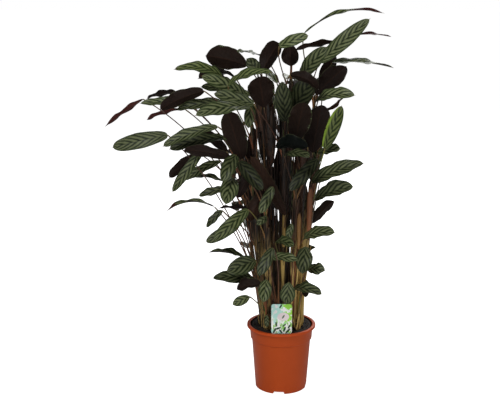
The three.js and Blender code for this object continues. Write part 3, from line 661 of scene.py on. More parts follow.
# Leaves on the far side are drawn at random, and drawn again where they meet another.
def draw_leaf(stem, turn, draw):
    height = pick((FILL_BASE, stem["top"][2] + FILL_HEADROOM - FILL_BASE), draw)
    bearing = math.radians(turn + pick(FILL_BEARING, draw))
    heading = bearing + math.radians(pick(FILL_HEADING, draw))
    reach = pick(FILL_REACH, draw)
    length = pick(FILL_LENGTH, draw)
    climb = math.radians(pick(FILL_CLIMB, draw))
    base = cane_axis(stem, min(height, stem["top"][2]))
    base += (reach * math.cos(bearing), reach * math.sin(bearing), 0)
    base[2] = height
    run = length * math.cos(climb)
    step = (run * math.cos(heading), run * math.sin(heading), length * math.sin(climb))
    width = pick(FILL_WIDTH, draw)
    facing = "backUp" if draw() < 0.5 else "up"
    arch = pick(FILL_ARCH, draw)
    return Leaf(base, base + step, width, facing, arch, WAVE_STARTS * draw())


# The crown of leaves widens with height, further on its left than on its right.
def is_within_crown(leaf):
    for point in (leaf.base, leaf.tip):
        seen = EYE + (point - EYE) * (VIEW_DISTANCE / (VIEW_DISTANCE + point[1]))
        rise = seen[2] - CROWN_FOOT
        left = CROWN_LEFT - CROWN_LEFT_SPREAD * rise
        right = CROWN_RIGHT + CROWN_RIGHT_SPREAD * rise
        if rise >= CROWN_HEIGHT or not left < seen[0] < right:
            return False
    return True


def fill_leaves(name, stem, draw):
    turn, count = stem.get("fill", (0, 0))
    grown = []
    tries = 0
    while tries < FILL_TRIES and len(grown) < count:
        tries += 1
        leaf = draw_leaf(stem, turn, draw)
        if not is_within_crown(leaf):
            continue
        samples = leaf_samples(name, stem, leaf)
        if is_clear(samples):
            take(samples)
            grown.append(leaf)
    return grown


def place_leaves():
    draw = make_draw(DRAW_START)
    placed = {}
    take(tag_samples())
    for name, stem in STEMS.items():
        take(cane_samples(name, stem))
    for name, stem in STEMS.items():
        grown = [Leaf(*row[:5], WAVE_STARTS * draw(), *row[5:]) for row in stem["leaves"]]
        placed[name] = [leaf for leaf in grown if settle_leaf(name, stem, leaf)]
    for name, stem in STEMS.items():
        placed[name] += fill_leaves(name, stem, draw)
    return placed


# Skins of stems and leaves

MARKS = ("across", "along", "bars", "slant", "tone", "light", "withered", "groove")
UPPER, UNDERSIDE, STALK, CANE = range(4)
RIGHT = np.array([1.0, 0, 0])


def new_stem_mesh():
    mesh = bmesh.new()
    for mark in MARKS:
        mesh.verts.layers.float.new(mark)
    return mesh


# A grid whose points are placed by how far across and along it they are, from 0 to 1, and whose
# halves across may differ in material
def add_skin(mesh, columns, rows, place, marks, materials):
    made = bmesh.ops.create_grid(mesh, x_segments=columns, y_segments=rows, size=0.5)["verts"]
    faces = list({face for vert in made for face in vert.link_faces})
    for face in faces:
        face.smooth = True
        face.material_index = materials[face.calc_center_median().x > 0]
    spots = np.array([vert.co[:2] for vert in made], float) + 0.5
    u = np.round(spots[:, 0] * columns) / columns
    v = np.round(spots[:, 1] * rows) / rows
    for vert, point in zip(made, place(u, v) * MM):
        vert.co = point
    for mark, values in marks(u, v).items():
        layer = mesh.verts.layers.float[mark]
        for vert, value in zip(made, np.broadcast_to(values, u.shape)):
            vert[layer] = value
    bmesh.ops.remove_doubles(mesh, verts=made, dist=SKIN_SEAM)
    bmesh.ops.recalc_face_normals(mesh, faces=[face for face in faces if face.is_valid])


# A tube round a path, closed at each end by a ring without width. reshape gives how much wider
# each point of a ring is and how far it rises. An angle of 0 is towards side. A mark is a
# number or a function of the angle and the ring.
def add_tube(mesh, path, radii, columns, material, marks, reshape=None, side=RIGHT):
    rows = len(path) + 1
    tangents = np.gradient(path, axis=0)
    tangents /= np.linalg.norm(tangents, axis=1)[:, None]
    sides = []
    for tangent in tangents:
        side = unit(side - tangent * side.dot(tangent))
        sides.append(side)
    sides = np.array(sides)
    normals = np.cross(tangents, sides)

    def ring_of(v):
        return np.clip(np.round(v * rows).astype(int) - 1, 0, len(path) - 1)

    def place(u, v):
        ring = ring_of(v)
        angle = math.tau * u
        wider, rise = reshape(angle, ring) if reshape else (1, 0)
        width = np.where((v == 0) | (v == 1), 0, radii[ring]) * wider
        points = path[ring] + sides[ring] * (width * np.cos(angle))[:, None]
        points += normals[ring] * (width * np.sin(angle))[:, None]
        return points + tangents[ring] * np.broadcast_to(rise, u.shape)[:, None]

    def tube_marks(u, v):
        ring = ring_of(v)
        values = {"along": ring / (len(path) - 1), **marks}
        for mark, value in values.items():
            values[mark] = value(math.tau * u, ring) if callable(value) else value
        return values

    add_skin(mesh, columns, rows, place, tube_marks, (material, material))


# The upper face runs from edge to edge in the grid's first half, and the lower face back
# again in its second. The columns gather at the midrib.
def fold_over(u):
    face = np.where(u < 0.5, 1, -1)
    across = np.where(u < 0.5, 4 * u - 1, 3 - 4 * u)
    return face, np.sign(across) * abs(across) ** RIB_CROWDING


# A sheet is thinner towards its edges, where its two faces meet.
def half_thickness(s):
    return BLADE_THICKNESS / 2 * np.sqrt(np.maximum(0, 1 - s * s))


def add_blade(mesh, leaf, tone, twist, curl):
    length = leaf.length()
    side = leaf.axes()[2]
    stout = smooth(leaf.width / length, *STOUT_SHAPE)
    fullness = SKIN_FULLNESS + STOUT_POINTING * stout
    reach = leaf.width / 2 * (1 + STOUT_WIDENING * stout)

    def rows_to_length(v):
        return ROW_EVENNESS * v + (1 - ROW_EVENNESS) * (1 - np.cos(math.pi * v)) / 2

    def place(u, v):
        face, s = fold_over(u)
        t = rows_to_length(v)
        outline = blade_outline(np.minimum(t / BODY_END, 1), fullness)
        half = np.maximum(reach * outline, POINT_WIDTH * (1 - t ** TIP_SHARPNESS))
        half = half * smooth(t, -0.01, 0.01) * (t < 1)
        point, normal = blade_surface(leaf, t, s, half)
        end = np.minimum(1, END_THINNING * np.sin(math.pi * t))
        body = half_thickness(s) * end
        rib = RIB_DEPTH * (1 - RIB_TAPER * t) * end * np.exp(-(s * half / RIB_WIDTH) ** 2)
        phase = 3 * leaf.phase + np.where(s > 0, RIPPLE_OFFSET, 0)
        ripple = leaf.width * RIPPLE * abs(s) ** 3 * outline
        ripple *= np.sin(math.tau * RIPPLES * t + phase)
        turn = TWIST * twist * (t - TWIST_MIDDLE) * smooth(t, 0, TWIST_START)
        roll = half * s * np.sin(turn) + CURL * curl * half * s * s * np.sin(math.pi * t)
        lift = face * body + ripple + roll - np.where(face < 0, rib, 0)
        draw_in = half * s * (np.cos(turn) - 1)
        return point + normal * lift[:, None] + np.outer(draw_in, side)

    def marks(u, v):
        return {
            "across": fold_over(u)[1],
            "along": rows_to_length(v),
            "bars": max(LEAST_BARS, length / BAR_STEP),
            "slant": leaf.width / BAR_SLANT,
            "tone": tone,
            "light": leaf.light,
            "withered": leaf.withered,
        }

    add_skin(mesh, BLADE_COLUMNS, BLADE_ROWS, place, marks, (UPPER, UNDERSIDE))


# A stalk clasps its cane with a grooved sheath and swells again where it turns into the blade.
def add_stalk(mesh, stem, leaf, tone):
    controls = petiole_controls(stem, leaf)
    u = np.linspace(0, 1, STALK_ROWS)
    swell = np.exp(-((u - SWELL_AT) / SWELL_LENGTH) ** 2)
    radii = petiole_radius(u) + SWELL_RADIUS * swell
    groove = 1 - smooth(u, SHEATH_FULL, SHEATH_END)
    out = leaf.base - controls[0]

    def reshape(angle, ring):
        inside = np.exp(-((angle - math.pi) / GROOVE_WIDTH) ** 2)
        return 1 - GROOVE_DEPTH * groove[ring] * inside, 0

    side = np.array([out[0], out[1], 0.001])
    marks = {"tone": tone, "light": leaf.light}
    add_tube(mesh, curve_points(controls, u), radii, STALK_COLUMNS, STALK, marks, reshape, side)


def crown_foot(stem):
    return max(LEAN_FROM + MOUTH_LENGTH, stem["top"][2] - CROWN_LENGTH)


# The cane under its sheaths, the swollen crown that the upper leaves leave, and the spike
def stem_radius(stem, height):
    top = stem["top"][2]
    slim = CANE_RADIUS * (1 - CANE_TAPER)
    if height > top:
        return slim + (SPIKE_RADIUS - slim) * ((height - top) / SPIKE_LENGTH) ** SPIKE_ROUNDING
    foot = crown_foot(stem)
    if height > foot and top > TUFT_TOP:
        share = (height - foot) / (top - foot)
        plain = cane_radius(stem, foot) * (1 - share) + slim * share
        swelling = stem.get("crown", CROWN_RADIUS) - (cane_radius(stem, foot) + slim) / 2
        return plain + swelling * math.sin(math.pi * share)
    return cane_radius(stem, height) - SHEATH_THICKNESS


def cane_path(stem, heights):
    return np.array([cane_axis(stem, height) for height in heights])


def stem_radii(stem, heights):
    return np.array([stem_radius(stem, height) for height in heights])


# A cane looks like a few stalks laid close together, which wind slowly round each other.
def add_cane(mesh, stem, turn, tones):
    top = stem["top"][2]
    count = int((top + SPIKE_LENGTH - SOIL + SOCKET_DEPTH) / CANE_ROW)
    heights = np.linspace(SOIL - SOCKET_DEPTH, top + SPIKE_LENGTH, count)

    def lobe_at(angle, ring):
        return (angle + turn + heights[ring] * LOBE_TWIST) * LOBES / (math.tau)

    def groove_at(angle, ring):
        return 1 - abs(np.sin(math.pi * lobe_at(angle, ring)))

    def reshape(angle, ring):
        return 1 - LOBE_DEPTH * groove_at(angle, ring), 0

    marks = {
        "groove": groove_at,
        "along": lambda angle, ring: ((heights[ring] - SOIL) / INTERNODE) % 1,
        "tone": lambda angle, ring: tones[np.floor(lobe_at(angle, ring)).astype(int) % LOBES],
        "light": lambda angle, ring: smooth(heights[ring], top - SPIKE_LENGTH, top + SPIKE_LENGTH),
    }
    radii = stem_radii(stem, heights)
    add_tube(mesh, cane_path(stem, heights), radii, CANE_COLUMNS, CANE, marks, reshape)


# A sheath wraps the cane, and its mouth opens in a V on one side.
def add_sheath(mesh, stem, mouth, turn, tone):
    foot = max(SOIL - SOCKET_DEPTH, mouth - SHEATH_LENGTH)
    heights = np.append(np.linspace(foot, mouth, SHEATH_ROWS), (mouth, mouth - MOUTH_LENGTH))
    share = smooth(heights, foot, mouth)
    path = cane_path(stem, heights)
    path[-2] += UP * MOUTH_LIP
    radii = np.array([cane_radius(stem, min(height, mouth - 1)) for height in heights])
    radii *= SHEATH_SLIMMING + SHEATH_SWELLING * smooth(heights, foot, foot + SHEATH_GRIP)
    radii[-2] -= SHEATH_THICKNESS
    radii[-1] -= SHEATH_THICKNESS * 2
    near_mouth = smooth(heights, mouth - MOUTH_DEPTH * 1.5, mouth)

    def reshape(angle, ring):
        away = abs((angle - turn + math.pi) % (math.tau) - math.pi)
        return 1, -MOUTH_DEPTH * near_mouth[ring] * np.maximum(0, 1 - away / MOUTH_OPENING)

    marks = {"along": lambda angle, ring: share[ring], "tone": tone}
    add_tube(mesh, path, radii, CANE_COLUMNS, CANE, marks, reshape)


# An older stalk stands beside the cane and leans a little away from it on the way up.
def add_strand(mesh, stem, top, turn, distance, tone):
    heights = np.linspace(SOIL - SOCKET_DEPTH, top, int((top - SOIL + SOCKET_DEPTH) / STRAND_ROW))
    share = smooth(heights, SOIL, top)
    angle = turn + STRAND_TURN * share
    away = CANE_RADIUS + distance * share
    path = cane_path(stem, heights)
    path[:, 0] += away * np.cos(angle)
    path[:, 1] += away * np.sin(angle)
    radii = STRAND_RADIUS * (1 - STRAND_TAPER * share)
    add_tube(mesh, path, radii, STRAND_COLUMNS, CANE, {"tone": tone})


# A pointed sheet wrapped round part of a path. reach is half the angle that it covers.
def add_wrap(mesh, path, radii, turn, reach, tone, light=0):
    rows = len(path) - 1

    def place(u, v):
        ring = np.round(v * rows).astype(int)
        face, s = fold_over(u)
        outline = np.minimum(1, v / WRAP_ROUNDING) * (1 - v ** WRAP_POINTING) ** WRAP_FULLNESS
        body = half_thickness(s) * np.minimum(1, WRAP_THINNING * outline)
        far = radii[ring] + BRACT_CLEARANCE * (1 - s * s * 0.6) + BRACT_OPENING * v ** 3 + face * body
        angle = turn + s * outline * reach[ring]
        out = np.stack((np.cos(angle), np.sin(angle), np.zeros(len(angle))), axis=1)
        return path[ring] + out * far[:, None]

    def marks(u, v):
        return {"along": v, "tone": tone, "light": light}

    add_skin(mesh, WRAP_COLUMNS, rows, place, marks, (CANE, CANE))


# A bract wraps part of the crown.
def add_bract(mesh, stem, foot, length, turn, width, tone):
    heights = np.linspace(foot, foot + length, WRAP_ROWS)
    radii = stem_radii(stem, heights)
    reach = width / 2 / (radii + BRACT_CLEARANCE)
    add_wrap(mesh, cane_path(stem, heights), radii, turn, reach, tone)


# A broad sheath faces the viewer at the front of its cane.
def add_broad_sheath(mesh, foot, tip, width, tone, glow):
    share = np.linspace(0, 1, WRAP_ROWS)
    path = np.array(foot) + np.outer(share, np.subtract(tip, foot))
    radii = width / 2 * (BROAD_FOOT + (1 - BROAD_FOOT) * share)
    # The glow goes in as a light below 0: painted light that holds the sheath out of the painted shade
    add_wrap(mesh, path, radii, -math.pi / 2, np.full(WRAP_ROWS, BROAD_REACH), tone, -glow)


def add_stem(name, stem, leaves, materials):
    top = stem["top"][2]
    draw = make_draw(LOOK_START + len(leaves) + int(top))
    mesh = new_stem_mesh()
    add_cane(mesh, stem, draw(), np.array([draw() for _ in range(LOBES)]))
    mouth = SOIL + INTERNODE * pick(FIRST_MOUTH, draw)
    while mouth < crown_foot(stem):
        add_sheath(mesh, stem, mouth, math.tau * draw(), draw())
        mouth += INTERNODE * pick(NEXT_MOUTH, draw)
    for k in range(STRAND_COUNT):
        reach = SOIL + (top - SOIL) * pick(STRAND_REACH, draw)
        turn = GOLDEN_TURN * k + draw()
        add_strand(mesh, stem, reach, turn, STRAND_SPREAD * draw(), draw())
    if top > TUFT_TOP:
        girth = stem.get("crown", CROWN_RADIUS)
        count = LEAST_BRACTS + int(girth / GIRTH_PER_BRACT)
        for k in range(count):
            foot = crown_foot(stem) + CROWN_LENGTH * BRACTS_REACH * k / count
            length = CROWN_LENGTH * pick(BRACT_LENGTH, draw)
            turn = GOLDEN_TURN * k + draw()
            add_bract(mesh, stem, foot, length, turn, girth * BRACT_GIRTH, draw())
    for sheath in BROAD_SHEATHS.get(name, ()):
        add_broad_sheath(mesh, *sheath)
    for leaf in leaves:
        add_blade(mesh, leaf, draw(), 2 * draw() - 1, 2 * draw() - 1)
        add_stalk(mesh, stem, leaf, draw())
    for edge in mesh.edges:
        if {face.material_index for face in edge.link_faces} == {UPPER, UNDERSIDE}:
            edge.smooth = False
    make_piece(name + "_grown", mesh, materials, name)


def link_object(name, data):
    thing = bpy.data.objects.new(name, data)
    bpy.context.scene.collection.objects.link(thing)
    return thing


def mesh_object(name, mesh, materials=()):
    data = bpy.data.meshes.new(name)
    mesh.to_mesh(data)
    mesh.free()
    for material in materials:
        data.materials.append(material)
    return link_object(name, data)


def make_piece(name, mesh, materials, node):
    piece = mesh_object(name, mesh, materials)
    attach(piece, "root")
    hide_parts(node)
    return piece


# Pot

def body_radius(height):
    return BODY_FOOT_RADIUS + (BODY_TOP_RADIUS - BODY_FOOT_RADIUS) * height / COLLAR_FOOT


def pot_profile():
    foot = BODY_FOOT_RADIUS - ROUNDING
    floor_top = FLOOR_HEIGHT + WALL
    return [
        (0, 0),
        (HUB_RADIUS, 0),
        (HUB_RADIUS + ROUNDING, FLOOR_HEIGHT),
        (foot - FOOT_WIDTH - ROUNDING, FLOOR_HEIGHT),
        (foot - FOOT_WIDTH, 0),
        (foot, 0),
        (body_radius(ROUNDING), ROUNDING),
        (BODY_TOP_RADIUS, COLLAR_FOOT - WALL),
        (COLLAR_FOOT_RADIUS, COLLAR_FOOT),
        (COLLAR_RADIUS, POT_HEIGHT - WALL),
        (RIM_RADIUS - WALL, POT_HEIGHT - WALL),
        (RIM_RADIUS - WALL, POT_HEIGHT - RIM_DROP),
        (RIM_RADIUS, POT_HEIGHT - RIM_DROP),
        (RIM_RADIUS, POT_HEIGHT - ROUNDING),
        (RIM_RADIUS - ROUNDING, POT_HEIGHT),
        (COLLAR_RADIUS - WALL + ROUNDING, POT_HEIGHT),
        (COLLAR_RADIUS - WALL, POT_HEIGHT - ROUNDING),
        (COLLAR_FOOT_RADIUS - WALL, COLLAR_FOOT + WALL),
        (BODY_TOP_RADIUS - WALL, COLLAR_FOOT),
        (body_radius(floor_top) - WALL, floor_top),
        (HUB_RADIUS, floor_top),
        (HUB_RADIUS - WALL, WALL),
        (0, WALL),
    ]


def spin_profile(mesh, profile):
    verts = [mesh.verts.new((radius * MM, 0, height * MM)) for radius, height in profile]
    edges = [mesh.edges.new(pair) for pair in zip(verts, verts[1:])]
    turn = {"cent": (0, 0, 0), "axis": (0, 0, 1), "angle": math.tau}
    bmesh.ops.spin(mesh, geom=verts + edges, steps=POT_STEPS, use_merge=True, **turn)
    bmesh.ops.remove_doubles(mesh, verts=mesh.verts, dist=POT_SEAM)
    bmesh.ops.recalc_face_normals(mesh, faces=mesh.faces)


def pot_cutters():
    mesh = bmesh.new()
    for k in range(NOTCH_COUNT):
        made = bmesh.ops.create_cube(mesh, size=1)["verts"]
        for vert in made:
            width = NOTCH_TOP_WIDTH if vert.co.z > 0 else NOTCH_WIDTH
            height = FLOOR_HEIGHT if vert.co.z > 0 else -ROUNDING
            out = BODY_FOOT_RADIUS + vert.co.x * CUTTER_REACH
            vert.co = Vector((out, vert.co.y * width, height)) * MM
        turn = math.radians(NOTCH_TURN + k * 360 / NOTCH_COUNT)
        bmesh.ops.rotate(mesh, verts=made, cent=(0, 0, 0), matrix=Matrix.Rotation(turn, 3, "Z"))
    for k in range(DRAIN_COUNT):
        turn = math.radians((k + 0.5) * 360 / DRAIN_COUNT)
        spot = Vector((math.cos(turn) * DRAIN_CIRCLE, math.sin(turn) * DRAIN_CIRCLE, FLOOR_HEIGHT)) * MM
        sizes = {"radius1": DRAIN_RADIUS * MM, "radius2": DRAIN_RADIUS * MM, "depth": CUTTER_REACH * MM}
        matrix = Matrix.Translation(spot)
        bmesh.ops.create_cone(mesh, cap_ends=True, segments=DRAIN_STEPS, matrix=matrix, **sizes)
    return mesh_object("pot_cutters", mesh)


def bevel(mesh, geom, width, segments, affect="EDGES"):
    shape = {"offset": width * MM, "segments": segments, "profile": 0.5, "affect": affect}
    bmesh.ops.bevel(mesh, geom=geom, material=-1, **shape)


def bevel_sharp_edges(mesh, width, segments):
    sharp = [edge for edge in mesh.edges if edge.calc_face_angle(0) > SHARP]
    bevel(mesh, sharp, width, segments)


def add_pot(material):
    mesh = bmesh.new()
    spin_profile(mesh, pot_profile())
    bevel_sharp_edges(mesh, POT_BEVEL, 3)
    piece = make_piece("moulded_pot", mesh, [material], "pot")
    cutters = pot_cutters()
    cut = piece.modifiers.new("cut", "BOOLEAN")
    cut.operation = "DIFFERENCE"
    cut.object = cutters
    depsgraph = bpy.context.evaluated_depsgraph_get()
    data = bpy.data.meshes.new_from_object(piece.evaluated_get(depsgraph))
    piece.modifiers.clear()
    piece.data = data
    bpy.data.objects.remove(cutters)
    data.shade_smooth()
    data.set_sharp_from_angle(angle=math.radians(30))


# Soil

def soil_rings():
    floor = FLOOR_HEIGHT + WALL + GAP
    inside = WALL + GAP * 2
    side = COLLAR_FOOT_RADIUS - inside
    top = [(radius, SOIL) for radius in np.linspace(0, side - SOIL_BEVEL, SOIL_ROWS)]
    return np.array(top + [
        (side - 1, SOIL),
        (side, SOIL_EDGE - SOIL_BEVEL),
        (side, COLLAR_FOOT + inside),
        (BODY_TOP_RADIUS - inside, COLLAR_FOOT),
        (body_radius(floor) - inside, floor),
        (HUB_RADIUS - GAP * 2, floor),
        (HUB_RADIUS - inside, WALL + GAP),
        (0, WALL + GAP),
    ])


def clod_height(x, y):
    clods, lumps, grains = (noise.noise(Vector((x, y, 0)) / size) for size in CLOD_SIZES)
    levels = (clods, abs(lumps) * 2 - 0.5, grains)
    return CLOD_HEIGHT * sum(share * level for share, level in zip(CLOD_SHARES, levels))


def add_soil(material, crumb_material):
    mesh = bmesh.new()
    rings = soil_rings()
    edge = rings[SOIL_ROWS - 1][0]

    def bank(radius):
        return SOIL_BANK * (radius / edge) ** 4

    def place(u, v):
        ring = np.round(v * (len(rings) - 1)).astype(int)
        angle = math.tau * u
        radius = rings[ring, 0]
        x = radius * np.cos(angle)
        y = radius * np.sin(angle)
        level = [clod_height(*spot) for spot in zip(x, y)]
        level = level * (1 - smooth(radius, edge - 4, edge + 4)) + bank(radius)
        z = rings[ring, 1] + np.where(ring <= SOIL_ROWS, level, 0)
        return np.stack((x, y, z), axis=1)

    add_skin(mesh, SOIL_COLUMNS, len(rings) - 1, place, lambda u, v: {}, (0, 0))
    draw = make_draw(LOOK_START)
    for _ in range(CRUMB_COUNT):
        radius = edge * math.sqrt(draw())
        angle = math.tau * draw()
        x = radius * math.cos(angle)
        y = radius * math.sin(angle)
        size = CRUMB_SIZE[0] + CRUMB_SIZE[1] * draw() ** 2
        level = SOIL + clod_height(x, y) + bank(radius)
        matrix = Matrix.Translation(Vector((x, y, level + size * 0.2)) * MM)
        matrix @= Matrix.Rotation(math.tau * draw(), 4, (draw(), draw(), 1))
        matrix @= Matrix.Diagonal((1 + draw(), 0.7, 0.5 + 0.4 * draw(), 1))
        crumb = bmesh.ops.create_icosphere(mesh, subdivisions=1, radius=size * MM, matrix=matrix)
        shade = int(draw() < BARK_SHARE)
        for face in {face for vert in crumb["verts"] for face in vert.link_faces}:
            face.material_index = shade
    make_piece("potting_soil", mesh, [material, crumb_material], "soil")


# Plant tag

def add_tag(material):
    half = TAG_WIDTH / 2
    stake = TAG_STAKE_WIDTH / 2
    side = [(stake, TAG_STAKE_FOOT), (stake, TAG_SHOULDER), (half, TAG_SHOULDER), (half, TAG_TOP)]
    outline = side + [(-x, z) for x, z in reversed(side)]
    outline = outline[-1:] + outline[:-1]
    mesh = bmesh.new()
    back = TAG_Y + TAG_THICKNESS / 2
    verts = [mesh.verts.new(((TAG_CENTRE_X + x) * MM, back * MM, z * MM)) for x, z in outline]
    mesh.faces.new(verts)
    corners = [vert for vert in verts if abs(vert.co.x - TAG_CENTRE_X * MM) > stake * 1.1 * MM]
    bevel(mesh, corners, TAG_CORNER, 8, "VERTICES")
    made = bmesh.ops.extrude_face_region(mesh, geom=mesh.faces[:])["geom"]
    moved = [item for item in made if isinstance(item, bmesh.types.BMVert)]
    bmesh.ops.translate(mesh, verts=moved, vec=(0, -TAG_THICKNESS * MM, 0))
    bmesh.ops.recalc_face_normals(mesh, faces=mesh.faces)
    bevel_sharp_edges(mesh, TAG_BEVEL, 2)
    make_piece("tag_card", mesh, [material], "plant_tag")


# Finishes

def colour(levels):
    shares = [level / 255 for level in levels]
    return (*(s / 12.92 if s <= 0.04045 else ((s + 0.055) / 1.055) ** 2.4 for s in shares), 1)


# A value or a colour in a node tree. What is worked out from it is a node of the same tree.
class Wire:
    def __init__(self, tree, socket):
        self.tree = tree
        self.socket = socket

    def work(self, operation, *others):
        return self.tree.put("Math", dict(enumerate((self, *others))), operation=operation)

    def __add__(self, other):
        return self.work("ADD", other)

    def __sub__(self, other):
        return self.work("SUBTRACT", other)

    def __rsub__(self, other):
        return self.tree.put("Math", {0: other, 1: self}, operation="SUBTRACT")

    def __mul__(self, other):
        return self.work("MULTIPLY", other)

    def __truediv__(self, other):
        return self.work("DIVIDE", other)

    def __pow__(self, other):
        return self.work("POWER", other)

    def spread(self, low, high, new_low=0, new_high=1):
        inputs = {0: self, 1: low, 2: high, 3: new_low, 4: new_high}
        return self.tree.put("MapRange", inputs, interpolation_type="SMOOTHSTEP")

    # The first colour where this value is 0, and the second where it is 1
    def blend(self, first, second):
        return self.tree.put("Mix", {0: self, 6: first, 7: second}, 2, data_type="RGBA")

    # This colour with others laid on it, each in the share that comes before it
    def under(self, *layers):
        face = self
        for share, paint in layers:
            face = share.blend(face, paint)
        return face

    # This colour in less light
    def darken(self, light):
        grey = self.tree.put("CombineColor", {0: light, 1: light, 2: light})
        inputs = {0: 1, 6: self, 7: grey}
        return self.tree.put("Mix", inputs, 2, data_type="RGBA", blend_type="MULTIPLY")


class Tree:
    def __init__(self, tree):
        self.tree = tree

    # Three numbers for a colour are its red, green and blue from 0 to 255.
    def fill(self, node, inputs):
        for name, value in inputs.items():
            socket = node.inputs[name]
            if isinstance(value, Wire):
                self.tree.links.new(value.socket, socket)
            elif socket.type == "RGBA" and len(value) == 3:
                socket.default_value = colour(value)
            else:
                socket.default_value = value

    def put(self, kind, inputs, output=0, **settings):
        node = self.tree.nodes.new("ShaderNode" + kind)
        for name, value in settings.items():
            setattr(node, name, value)
        self.fill(node, inputs)
        return Wire(self, node.outputs[output])

    def mark(self, name):
        return self.put("Attribute", {}, "Fac", attribute_name=name)

    def place(self, scale=(1, 1, 1), shift=(0, 0, 0)):
        spots = self.put("TexCoord", {}, "Object")
        return self.put("Mapping", {"Vector": spots, "Location": shift, "Scale": scale})

    def axis(self, name):
        return self.put("SeparateXYZ", {0: self.place()}, name)

    # Noise, drawn out upwards where rise is below 1
    def speckle(self, scale, detail=4, roughness=0.55, rise=1):
        spots = self.place((1, 1, rise))
        inputs = {"Vector": spots, "Scale": scale, "Detail": detail, "Roughness": roughness}
        return self.put("TexNoise", inputs)

    def use(self, group):
        node = self.tree.nodes.new("ShaderNodeGroup")
        node.node_tree = group
        return {socket.name: Wire(self, socket) for socket in node.outputs}

    def give(self, outputs):
        for name in outputs:
            self.tree.interface.new_socket(name, in_out="OUTPUT", socket_type="NodeSocketFloat")
        self.fill(self.tree.nodes.new("NodeGroupOutput"), outputs)
        return self.tree


def new_group(name):
    return Tree(bpy.data.node_groups.new(name, "ShaderNodeTree"))


class Finish(Tree):
    def __init__(self, name, roughness, gloss=0.5):
        self.material = bpy.data.materials.new(name)
        self.material.use_nodes = True
        super().__init__(self.material.node_tree)
        self.shader = self.tree.nodes["Principled BSDF"]
        self.fill(self.shader, {"Roughness": roughness, "Specular IOR Level": gloss})

    # rough gives a noise, and the roughness where it is low and where it is high.
    def done(self, face, grain, strength, depth, rough=None):
        bump = self.put("Bump", {"Height": grain, "Strength": strength, "Distance": depth * MM})
        self.fill(self.shader, {"Base Color": face, "Normal": bump})
        if rough:
            speckles, low, high = rough
            self.fill(self.shader, {"Roughness": speckles.spread(0.3, 0.7, low, high)})
        return self.material


# Both faces of a blade have the same feathered bars, which lean towards the tip.
def feather_group():
    group = new_group("feathered_bars")
    across = group.mark("across")
    along = group.mark("along")
    away = across.work("ABSOLUTE")
    lean = group.mark("slant") * away ** 1.4
    offset = across.work("GREATER_THAN", 0) * 0.4
    place = along * group.mark("bars") - lean + (offset + group.speckle(60, 2) * 0.5)
    beat = place.work("PINGPONG", 0.5) * 2
    width = 0.3 - away ** 1.5 * 0.14
    ends = along.spread(0.02, 0.07) * along.spread(0.93, 0.99, 1, 0)
    ragged = along + group.speckle(140) * 0.1
    past = ragged - (1.08 - group.mark("withered"))
    return group.give({
        "Bars": beat.spread(width - 0.13, width + 0.13, 1, 0) * (away.spread(0.84, 0.95, 1, 0) * ends),
        "Stripes": beat.spread(0.3, 0.8) * away.spread(0.68, 0.92, 1, 0),
        "Midrib": away.spread(0.03, 0.075, 1, 0),
        "Edge": away.spread(0.92, 0.985),
        "Veins": (place * 4).work("PINGPONG", 0.5),
        "Point": along.spread(0.955, 0.975),
        "Withered": past.spread(0, 0.06),
    })


# Little light reaches the thick of the clump.
def thicket_group():
    group = new_group("thick_of_the_clump")
    scale = [1 / (reach * MM) for reach in THICKET_REACH]
    shift = [-place / reach for place, reach in zip(THICKET_CENTRE, THICKET_REACH)]
    far = group.put("VectorMath", {0: group.place(scale, shift)}, "Value", operation="LENGTH")
    return group.give({"Light": far.spread(0.45, 1.05, THICKET_LIGHT, 1)})


# Fibres that run up a stalk or a cane
def fibre_group():
    group = new_group("long_fibres")
    return group.give({
        "Fibres": group.speckle(700, 3, rise=0.06),
        "Blotches": group.speckle(90, 4, 0.65, 0.35),
    })


# A leaf is fresher where its light is above 0, and darker with painted shade where it is below.
# The brightest leaf has painted sunlight along one half and painted shade on the rest.
def upper_finish(feather, thicket):
    finish = Finish("feathered_leaf_face", 0.42, 0.22)
    bars = finish.use(feather)
    light = finish.mark("light")
    young = light.spread(0, 1)
    sunlit = light.spread(0.6, 0.9)
    deep = young.blend((42, 54, 26), (52, 70, 26))
    face = young.blend((87, 102, 60), (92, 112, 54)).under(
        (bars["Stripes"], young.blend((148, 156, 110), (150, 164, 92))),
        (bars["Bars"], deep),
        (bars["Midrib"] * 0.5, deep),
        (bars["Edge"] * 0.45, (112, 124, 84)),
    )
    mottle = finish.speckle(90)
    shade = finish.mark("tone") * 0.38 + mottle * 0.28 + (young * 0.45 + 0.12)
    # Painted shade for a light below 0, and on the rest of the sunlit leaf
    shade = shade * light.spread(-1, 0, 0.26, 1) * sunlit.spread(0, 1, 1, 0.2)
    # Painted shade of the thick of the clump, then painted sunlight along one half of the sunlit leaf
    face = face.darken(shade * finish.use(thicket)["Light"]).under(
        (finish.mark("across").spread(-0.85, -0.5, 1, 0) * sunlit, (132, 160, 48)),
        (bars["Withered"], WITHERED),
        (bars["Point"], (88, 62, 38)),
    )
    return finish.done(face, bars["Veins"] + mottle * 0.4, 0.35, 0.8, (mottle, 0.36, 0.5))


